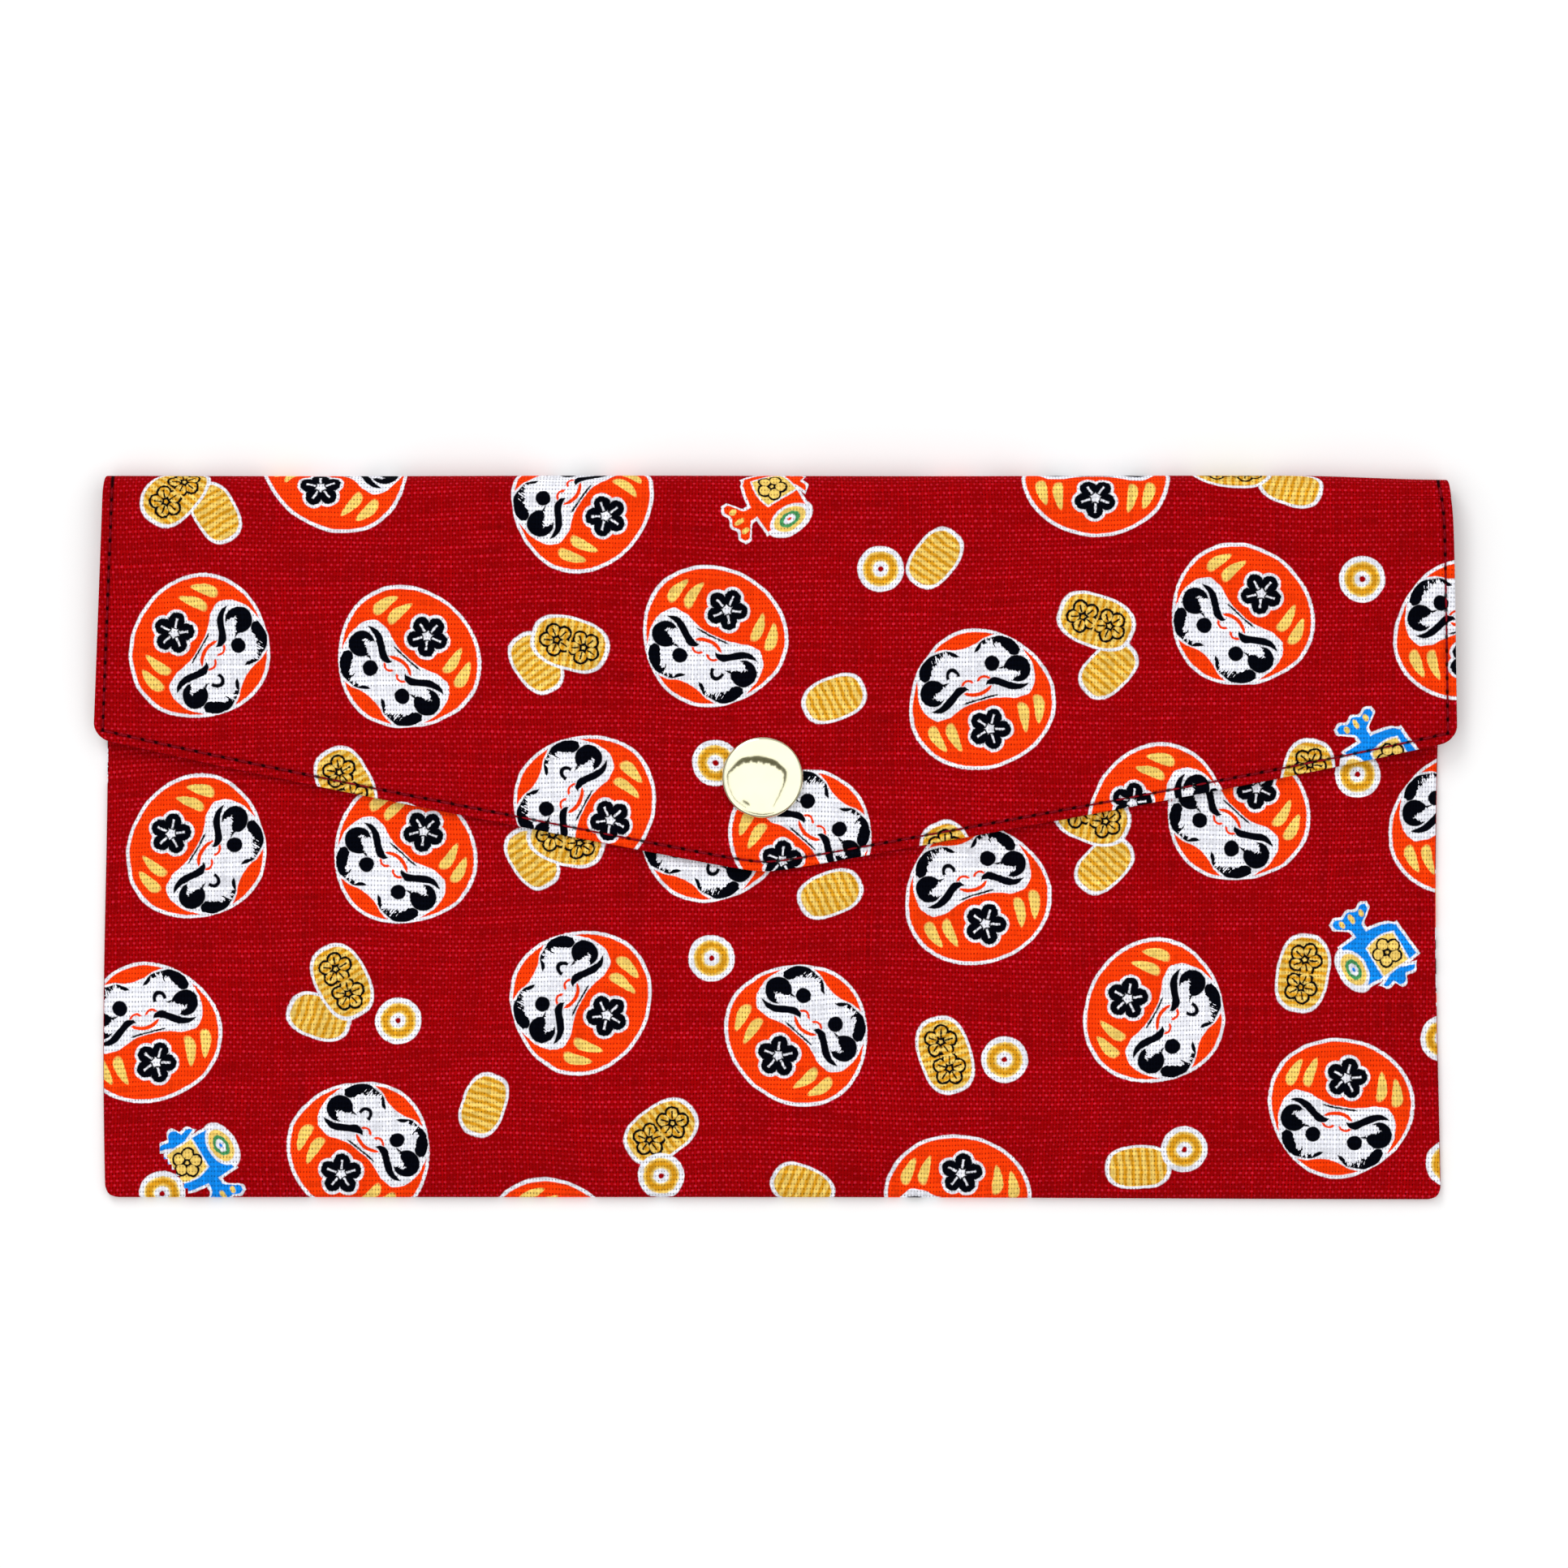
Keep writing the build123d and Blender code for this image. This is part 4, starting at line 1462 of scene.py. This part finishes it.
def gilt_brass():
    """Polished pale gold plate: hairline marks, a faint orange peel and duller patches."""
    if "gilt" in MATERIALS:
        return MATERIALS["gilt"]
    material, tree, shader = new_material("gilt_brass")
    colours = bpy.context.scene.pouch_snap
    place = tree.nodes.new("ShaderNodeTexCoord").outputs["Object"]
    peel = noise(tree, place, 700.0, 2.0)
    patches = noise(tree, place, 260.0, 3.0)
    x, y, z = split(tree, place)
    scratch = noise(tree, pair(tree, x * 900.0 + y * 300.0, y * 9000.0 - x * 2500.0, z), 1.0, 2.0)
    marks = (scratch - 0.66)._math("MULTIPLY", 3.0, clamp=True)
    deep = tuple(c * 0.86 for c in colours.gilt)
    colour = coat(tree, tuple(colours.gilt), deep, patches)
    tree.links.new(colour, shader.inputs["Base Color"])
    tree.links.new((patches * 0.05 + marks * 0.06 + 0.045).socket, shader.inputs["Roughness"])
    tree.links.new(bump(tree, peel, 0.000004), shader.inputs["Normal"])
    shader.inputs["Metallic"].default_value = 1.0
    MATERIALS["gilt"] = material
    return material


def spring_steel():
    """Bright drawn wire: fine streaks and slight tone changes."""
    if "steel" in MATERIALS:
        return MATERIALS["steel"]
    material, tree, shader = new_material("spring_steel")
    place = tree.nodes.new("ShaderNodeTexCoord").outputs["Object"]
    streaks = noise(tree, place, 3000.0, 3.0)
    colour = coat(tree, (0.46, 0.46, 0.44), (0.66, 0.65, 0.62), streaks)
    tree.links.new(colour, shader.inputs["Base Color"])
    tree.links.new((streaks * 0.15 + 0.2).socket, shader.inputs["Roughness"])
    shader.inputs["Metallic"].default_value = 1.0
    MATERIALS["steel"] = material
    return material


def finish_piece(piece, material, slot, *nodes):
    """Gives a piece its material and lets it stand for its CAD nodes. The slot is not used."""
    piece.data.materials.append(material)
    if nodes:
        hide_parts(*nodes)
    return piece


def add_cloth_map(piece, sheet):
    """Stores the cloth's own coordinates as a UV map."""
    mesh = piece.data
    faces = np.zeros(len(mesh.loops), np.int32)
    mesh.loops.foreach_get("vertex_index", faces)
    layer = mesh.uv_layers.new(name="cloth")
    layer.uv.foreach_set("vector", sheet.cloth[faces].astype(np.float32).ravel())


# ---------------------------------------------------------------------------------------------
# Operators


class POUCH_OT_outer_cloth(bpy.types.Operator):
    """Make the printed cotton of the flap, the back and the front"""

    bl_idname = "pouch.outer_cloth"
    bl_label = "Outer Cloth"

    def execute(self, context):
        sizes = context.scene.pouch_cloth
        outer, pitch = sizes.outer / MM, sizes.stitch / MM
        inset = sizes.stitch_inset / MM
        material = printed_cotton()
        columns = clustered(-FLAP_HALF, FLAP_HALF, 0.42, 3.2, 0.27) / FLAP_HALF
        rows = np.concatenate([np.linspace(0, 0.92, 54)[:-1], np.linspace(0.92, 1, 15)])
        sheet = flap_sheet(0.0, outer, 0.2, columns, rows, FOLD_TURNS, inset, pitch)
        flap = add_mesh("flap_outer_cloth_piece", sheet.points, sheet.faces)
        add_print(flap, sheet, lambda p, f: flap_stitch_line(p, f, inset, pitch))
        finish_piece(flap, material, "printed_cotton", "flap_outer_cloth")
        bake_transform(flap)

        columns = clustered(-1, 1, 0.0068, 0.02, 0.002)
        rows = clustered(0, 1, 0.0087, 0.02, 0.0025)
        sheet = back_sheet(0.0, outer, 0.0, columns, rows, True)
        back = add_mesh("back_outer_cloth_piece", sheet.points, sheet.faces, "pocket")
        add_print(back, sheet, no_stitch_line)
        finish_piece(back, material, "printed_cotton", "back_outer_cloth")

        columns = clustered(-1, 1, 0.0058, 0.02, 0.002)
        rows = clustered(0, 1, 0.0082, 0.035, 0.0028)
        sheet = front_sheet(0.0, outer, 0.0, columns, rows, True)
        front = add_mesh("front_outer_cloth_piece", sheet.points, sheet.faces, "pocket")

        def mouth_line(points, faces):
            corners = points[faces]
            off = corners[..., 1] - MOUTH_STITCH_Y
            return np.stack([off, corners[..., 0] / pitch, 0 * off], axis=-1).reshape(-1, 3)

        add_print(front, sheet, mouth_line)
        finish_piece(front, material, "printed_cotton", "front_outer_cloth")
        return {"FINISHED"}


class POUCH_OT_inner_layers(bpy.types.Operator):
    """Make the interfacing and the lining inside the outer cloth"""

    bl_idname = "pouch.inner_layers"
    bl_label = "Interfacing and Lining"

    def execute(self, context):
        sizes = context.scene.pouch_cloth
        outer, middle, lining = (s / MM for s in (sizes.outer, sizes.interfacing, sizes.lining))
        pitch, inset = sizes.stitch / MM, sizes.stitch_inset / MM
        columns = clustered(-1, 1, 0.012, 0.012, 0.004)
        rows = clustered(0, 1, 0.03, 0.03, 0.01)
        layers = (
            ("interfacing", outer, middle, 2.6, interfacing_felt(), "interfacing"),
            ("lining", outer + middle, lining, 0.35, lining_cotton(), "lining_cotton"),
        )
        for layer, offset, thick, margin, material, slot in layers:
            gap = 0.006
            offset, thick = offset + gap, thick - 2 * gap
            sheets = {
                "flap": flap_sheet(
                    offset, thick, margin, columns, rows, FOLD_TURNS, inset, pitch, flat_inside=True
                ),
                "back": back_sheet(offset, thick, margin + 0.3, columns, rows, False),
                "front": front_sheet(offset, thick, margin + 0.3, columns, rows, False),
            }
            for panel, sheet in sheets.items():
                name = f"{panel}_{layer}"
                piece = add_mesh(f"{name}_piece", sheet.points, sheet.faces)
                add_cloth_map(piece, sheet)
                finish_piece(piece, material, slot, name)
                if panel == "flap":
                    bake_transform(piece)
                else:
                    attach(piece, "pocket")
                    0.094 if panel == "back" else 0.087
        return {"FINISHED"}


class POUCH_OT_stitching(bpy.types.Operator):
    """Make the topstitching, its bobbin thread and the seams' thread"""

    bl_idname = "pouch.stitching"
    bl_label = "Stitching"

    def execute(self, context):
        sizes = context.scene.pouch_cloth
        pitch, inset, thread = (s / MM for s in (sizes.stitch, sizes.stitch_inset, sizes.thread))
        material = thread_material()

        centres, along = [], []
        for path, length in flap_stitch_paths(inset):
            c, a = path_stitches(path, length, pitch, 0.8)
            centres.append(c)
            along.append(a)
        centres, along = np.concatenate(centres), np.concatenate(along)
        points, normals = flap_surface(centres[:, 0], TOP_Y - centres[:, 1], inset, pitch)
        flat = unit(np.stack([along[:, 0], along[:, 1], 0 * along[:, 0]], axis=1))
        flat = unit(flat - normals * (flat * normals).sum(1, keepdims=True))
        for name, shift, flip, sink in (
            ("flap_topstitch", 0.0, 1, 0.03),
            ("flap_bobbin_thread", -0.78, -1, 0.10),
        ):
            base = points + normals * shift
            p, f = stitch_mesh(base, flat, normals * flip, 0.82 * pitch, thread, sink)
            piece = add_mesh(f"{name}_piece", p, f)
            finish_piece(piece, material, "thread", name)
            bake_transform(piece)

        x = np.arange(-47, 48) * pitch
        y = np.full_like(x, MOUTH_STITCH_Y) + 0.15 * np.sin(x / 21)
        h = 0.1
        z = front_height(x, y)
        slope = (front_height(x + h, y) - front_height(x - h, y)) / (2 * h)
        zero, one = np.zeros_like(x), np.ones_like(x)
        flat = unit(np.stack([one, zero, slope], axis=1))
        normals = unit(np.stack([-slope, zero, one], axis=1))
        for name, shift, flip, sink in (
            ("mouth_topstitch", -0.09, 1, 0.03),
            ("mouth_bobbin_thread", -0.76, -1, 0.08),
        ):
            base = np.stack([x, y, z], axis=1) + normals * shift
            p, f = stitch_mesh(base, flat, normals * flip, 0.82 * pitch, thread, sink)
            piece = add_mesh(f"{name}_piece", p, f, "pocket")
            finish_piece(piece, material, "thread", name)

        y = np.arange(BOTTOM_Y + 3, MOUTH_Y - 1, 2.5)
        for name, sign in (("left_seam_thread", -1), ("right_seam_thread", 1)):
            wobble = body_wobble(y, sign > 0)
            base = np.stack([sign * (BODY_HALF - 0.42 + wobble), y, np.full_like(y, WALL)], axis=1)
            up = np.tile((0.0, 0.0, 1.0), (len(y), 1))
            p, f = stitch_mesh(base, np.tile((0.0, 1.0, 0.0), (len(y), 1)), up, 2.2, 0.2, 0.1)
            piece = add_mesh(f"{name}_piece", p, f, "pocket")
            finish_piece(piece, material, "thread", name)
        return {"FINISHED"}


class POUCH_OT_snap(bpy.types.Operator):
    """Make the snap's cap, socket, spring and stud, and give the rivet and post the gilt"""

    bl_idname = "pouch.snap"
    bl_label = "Snap"

    def execute(self, context):
        sheet = context.scene.pouch_snap.sheet / MM
        wire = context.scene.pouch_snap.wire / MM
        gilt = gilt_brass()
        base, crown, radius = CAP_LOW[2], CAP_HIGH[2], (CAP_HIGH[0] - CAP_LOW[0]) / 2
        r = np.linspace(radius - 0.28, 0, 26)
        side = crown - 0.72
        dome = side + (crown - side) * (1 - (r / (radius - 0.28)) ** 2.0)
        rim = [
            (4.3, base),
            (radius - 0.30, base),
            (radius - 0.08, base + 0.07),
            (radius, base + 0.24),
            (radius - 0.01, base + 0.46),
            (radius - 0.07, base + 0.62),
            (radius - 0.16, side - 0.06),
        ]
        inside = [(a * 0.955, z - sheet) for a, z in zip(r[::-1], dome[::-1])]
        back = [(radius - 0.32, base + 0.34), (4.3, base + 0.34)]
        profile = rim + list(zip(r, dome)) + inside[1:-3] + back
        cap = add_lathe("snap_cap_piece", profile, "flap", 96)
        finish_piece(cap, gilt, "gilt_brass", "snap_cap")

        low, high, wide = SOCKET_LOW[2], SOCKET_HIGH[2], (SOCKET_HIGH[0] - SOCKET_LOW[0]) / 2
        profile = rounded_profile(
            [
                (1.55, high),
                (wide - 0.1, high),
                (wide, high - 0.5),
                (wide - 0.45, low + 0.2),
                (wide - 1.1, low),
                (2.35, low),
                (2.35, low + sheet),
                (wide - 1.2, low + sheet),
                (wide - 0.75, low + 0.45),
                (wide - sheet, high - 0.55),
                (wide - sheet - 0.1, high - sheet),
                (1.55, high - sheet),
            ],
            0.16,
        )
        socket = add_lathe("snap_socket_piece", profile, "flap")
        finish_piece(socket, gilt, "gilt_brass", "snap_socket")

        seat, top, flange = STUD_LOW[2], STUD_HIGH[2], (STUD_HIGH[0] - STUD_LOW[0]) / 2
        profile = rounded_profile(
            [
                (1.05, seat),
                (flange, seat),
                (flange, seat + sheet),
                (2.5, seat + sheet + 0.02),
                (1.6, seat + sheet + 0.12),
                (1.6, top - 0.62),
                (2.0, top - 0.42),
                (1.95, top - 0.12),
                (1.65, top),
                (1.25, top - 0.05),
                (1.25, seat + sheet),
                (1.05, seat + sheet),
            ],
            0.12,
        )
        stud = add_lathe("snap_stud_piece", profile, "pocket")
        finish_piece(stud, gilt, "gilt_brass", "snap_stud")

        # One closed wire: two straight runs beside the stud's neck, joined by two arcs.
        t = np.linspace(0, 2 * math.pi, 121)[:-1]
        run_x, run_y = 1.86, 3.6
        x = run_x * np.sign(np.cos(t)) * np.minimum(np.abs(np.cos(t)) * 1.9, 1) ** 0.6
        y = run_y * np.sign(np.sin(t)) * np.minimum(np.abs(np.sin(t)) * 1.05, 1)
        z = np.full_like(t, low + sheet + 0.08 + wire / 2)
        line = np.stack([SNAP_X + x, SNAP_Y + y, z], axis=1)
        ahead = unit(np.roll(line, -1, 0) - np.roll(line, 1, 0))
        up = np.tile((0.0, 0.0, 1.0), (len(t), 1))
        side_way = unit(np.cross(ahead, up))
        a = np.arange(10) * 2 * math.pi / 10
        tube = (
            line[:, None]
            + side_way[:, None] * (wire / 2 * np.cos(a))[None, :, None]
            + up[:, None] * (wire / 2 * np.sin(a))[None, :, None]
        )
        index = np.arange(len(t) * 10).reshape(len(t), 10)
        index = np.concatenate([index, index[:1]])
        index = np.concatenate([index, index[:, :1]], axis=1)
        spring = add_mesh("snap_spring_piece", tube.reshape(-1, 3), grid_quads(index), "flap")
        finish_piece(spring, spring_steel(), "spring_steel", "snap_spring")

        for name in ("cap_rivet", "stud_post"):
            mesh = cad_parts[name].data
            mesh.materials.clear()
            mesh.materials.append(gilt)
        return {"FINISHED"}


class POUCH_OT_stage(bpy.types.Operator):
    """Make the floor, the lights and the camera"""

    bl_idname = "pouch.stage"
    bl_label = "Stage"

    def execute(self, context):
        scene, settings = context.scene, context.scene.pouch_stage
        points = np.array([(-1, -1, 0), (1, -1, 0), (1, 1, 0), (-1, 1, 0)]) * (1800.0, 1800.0, 0)
        points[:, 2] = -0.02
        floor = add_mesh("floor", points, [(0, 1, 2, 3)])
        material, tree, shader = new_material("floor")
        place = tree.nodes.new("ShaderNodeTexCoord").outputs["Object"]
        tone = noise(tree, place, 3.0, 2.0)
        colour = coat(tree, (0.93, 0.93, 0.93), (0.96, 0.96, 0.96), tone)
        tree.links.new(colour, shader.inputs["Base Color"])
        shader.inputs["Roughness"].default_value = 0.9
        shader.inputs["Specular IOR Level"].default_value = 0.0
        floor.data.materials.append(material)

        def area(name, place, aim, size, power, shape="RECTANGLE", other=None):
            data = bpy.data.lights.new(name, "AREA")
            data.shape, data.size, data.energy = shape, size, power
            data.size_y = other or size
            lamp = bpy.data.objects.new(name, data)
            lamp.location = place
            direction = np.array(aim, float) - place
            lamp.rotation_mode = "QUATERNION"
            lamp.rotation_quaternion = Vector(direction).to_track_quat("-Z", "Y")
            scene.collection.objects.link(lamp)
            return lamp

        area("overhead_softbox", (0, 0, 1.7), (0, 0, 0), 2.4, 13)
        area("key_light", (-0.45, 0.95, 1.0), (0, 0, 0), 0.6, 5, other=0.6)

        # Dark cards and a dark wall that only polished metal mirrors. A card is given by where
        # the cap mirrors it, in millimetres from the cap's middle, and by its half widths.
        def card(name, places, widths):
            places, widths = np.array(places, float), np.array(widths, float)
            share = np.linspace(0, len(places) - 1, 24 * len(places))
            knots = np.arange(len(places))
            line = np.stack([np.interp(share, knots, places[:, k]) for k in (0, 1)], axis=1)
            kernel = np.hanning(27) / np.hanning(27).sum()
            padded = np.pad(line, ((13, 13), (0, 0)), mode="edge")
            line = np.stack([np.convolve(padded[:, k], kernel, "valid") for k in (0, 1)], axis=1)
            away = unit(np.stack([-np.gradient(line[:, 1]), np.gradient(line[:, 0])], axis=1))
            width = np.interp(share, knots, widths)[:, None]
            ragged = 1 + 0.5 * (np.sin(share * 19) * np.sin(share * 7.3))[:, None]
            sides = np.stack([line - away * width * ragged, line + away * width])
            far = np.linalg.norm(sides, axis=-1, keepdims=True)
            # The dome's slope grows by 0.05 a millimetre, and a mirror doubles the angle.
            spread = np.tan(2 * np.arctan(0.05 * far)) * 1300 / far
            sides = sides * spread + (SNAP_X, SNAP_Y)
            points = np.concatenate([sides, np.full_like(far, 1300.0)], axis=-1)
            index = np.arange(far.size).reshape(far.shape[:2])
            return add_mesh(name, points.reshape(-1, 3), grid_quads(index))

        arch = [(-2.2, -4.3), (-3.9, -3.1), (-4.8, -1.2), (-4.9, 0.6), (-2.9, 2.4), (-0.6, 2.6)]
        arch += [(1.6, 2.1), (3.2, 0.8), (3.0, -0.9), (2.1, -2.9), (1.4, -4.2)]
        widths = [0.04, 0.05, 0.05, 0.12, 0.36, 0.45, 0.40, 0.26, 0.11, 0.07, 0.04]
        foot = [(-3.2, -4.5), (-1.7, -5.1), (0, -5.3), (1.8, -5.0)]
        mirrored = [
            card("dark_arch", arch, widths),
            card("dark_dash", [(-2.8, -3.2), (-2.3, -3.5), (-1.8, -3.9)], [0.10, 0.20, 0.10]),
            card("dark_foot", foot, [0.1, 0.22, 0.2, 0.1]),
        ]
        angle = np.linspace(0, 2 * math.pi, 65)[:-1]
        ring = np.stack([1500 * np.cos(angle), 1500 * np.sin(angle)], axis=1)
        rims = (250 + 0 * angle, 900 - 250 * np.sin(angle))
        wall = np.stack([np.column_stack([ring, z]) for z in rims])
        index = np.arange(128).reshape(2, 64)
        index = np.concatenate([index, index[:, :1]], axis=1)
        mirrored.append(add_mesh("dark_wall", wall.reshape(-1, 3), grid_quads(index)))
        dark, tree, shader = new_material("dark_card")
        grain = noise(tree, tree.nodes.new("ShaderNodeTexCoord").outputs["Object"], 30.0)
        colour = coat(tree, (0.05, 0.05, 0.02), (0.12, 0.11, 0.05), grain)
        tree.links.new(colour, shader.inputs["Base Color"])
        for shape in mirrored:
            shape.data.materials.append(dark)
            for kind in ("camera", "diffuse", "shadow", "transmission"):
                setattr(shape, f"visible_{kind}", False)

        world = bpy.data.worlds.new("studio") if scene.world is None else scene.world
        scene.world = world
        world.use_nodes = True
        background = world.node_tree.nodes["Background"]
        background.inputs[0].default_value = (1.0, 1.0, 1.0, 1.0)
        background.inputs[1].default_value = 0.68

        camera = bpy.data.cameras.new("camera")
        holder = bpy.data.objects.new("camera", camera)
        scene.collection.objects.link(holder)
        holder.location = (settings.view_x, settings.view_y, settings.camera_height)
        holder.rotation_euler = (0, 0, 0)
        camera.sensor_width = 36.0
        plane = settings.camera_height - FLAP_TOP * MM
        camera.lens = camera.sensor_width * plane / settings.view_width
        camera.clip_start, camera.clip_end = 0.01, 20
        scene.camera = holder
        scene.view_settings.view_transform = "Standard"
        return {"FINISHED"}


class POUCH_PT_panel(bpy.types.Panel):
    """Lists the pouch's pieces"""

    bl_idname = "POUCH_PT_panel"
    bl_label = "Envelope Pouch"
    bl_space_type = "VIEW_3D"
    bl_region_type = "UI"
    bl_category = "Pouch"

    def draw(self, context):
        column = self.layout.column()
        for operator in OPERATORS:
            column.operator(operator.bl_idname)
        for group in ("pouch_cloth", "pouch_print", "pouch_snap", "pouch_stage"):
            settings = getattr(context.scene, group)
            for name in settings.__annotations__:
                column.prop(settings, name)


SETTINGS = {
    "pouch_cloth": PouchClothSettings,
    "pouch_print": PouchPrintSettings,
    "pouch_snap": PouchSnapSettings,
    "pouch_stage": PouchStageSettings,
}
OPERATORS = (
    POUCH_OT_outer_cloth,
    POUCH_OT_inner_layers,
    POUCH_OT_stitching,
    POUCH_OT_snap,
    POUCH_OT_stage,
)


def register():
    for settings in SETTINGS.values():
        bpy.utils.register_class(settings)
    for name, settings in SETTINGS.items():
        setattr(bpy.types.Scene, name, bpy.props.PointerProperty(type=settings))
    for operator in OPERATORS:
        bpy.utils.register_class(operator)
    bpy.utils.register_class(POUCH_PT_panel)


def unregister():
    bpy.utils.unregister_class(POUCH_PT_panel)
    for operator in reversed(OPERATORS):
        bpy.utils.unregister_class(operator)
    for name, settings in reversed(list(SETTINGS.items())):
        delattr(bpy.types.Scene, name)
        bpy.utils.unregister_class(settings)


def main():
    register()
    bpy.ops.pouch.outer_cloth()
    bpy.ops.pouch.inner_layers()
    bpy.ops.pouch.stitching()
    bpy.ops.pouch.snap()
    bpy.ops.pouch.stage()
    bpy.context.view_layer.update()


if __name__ == "__main__":
    main()
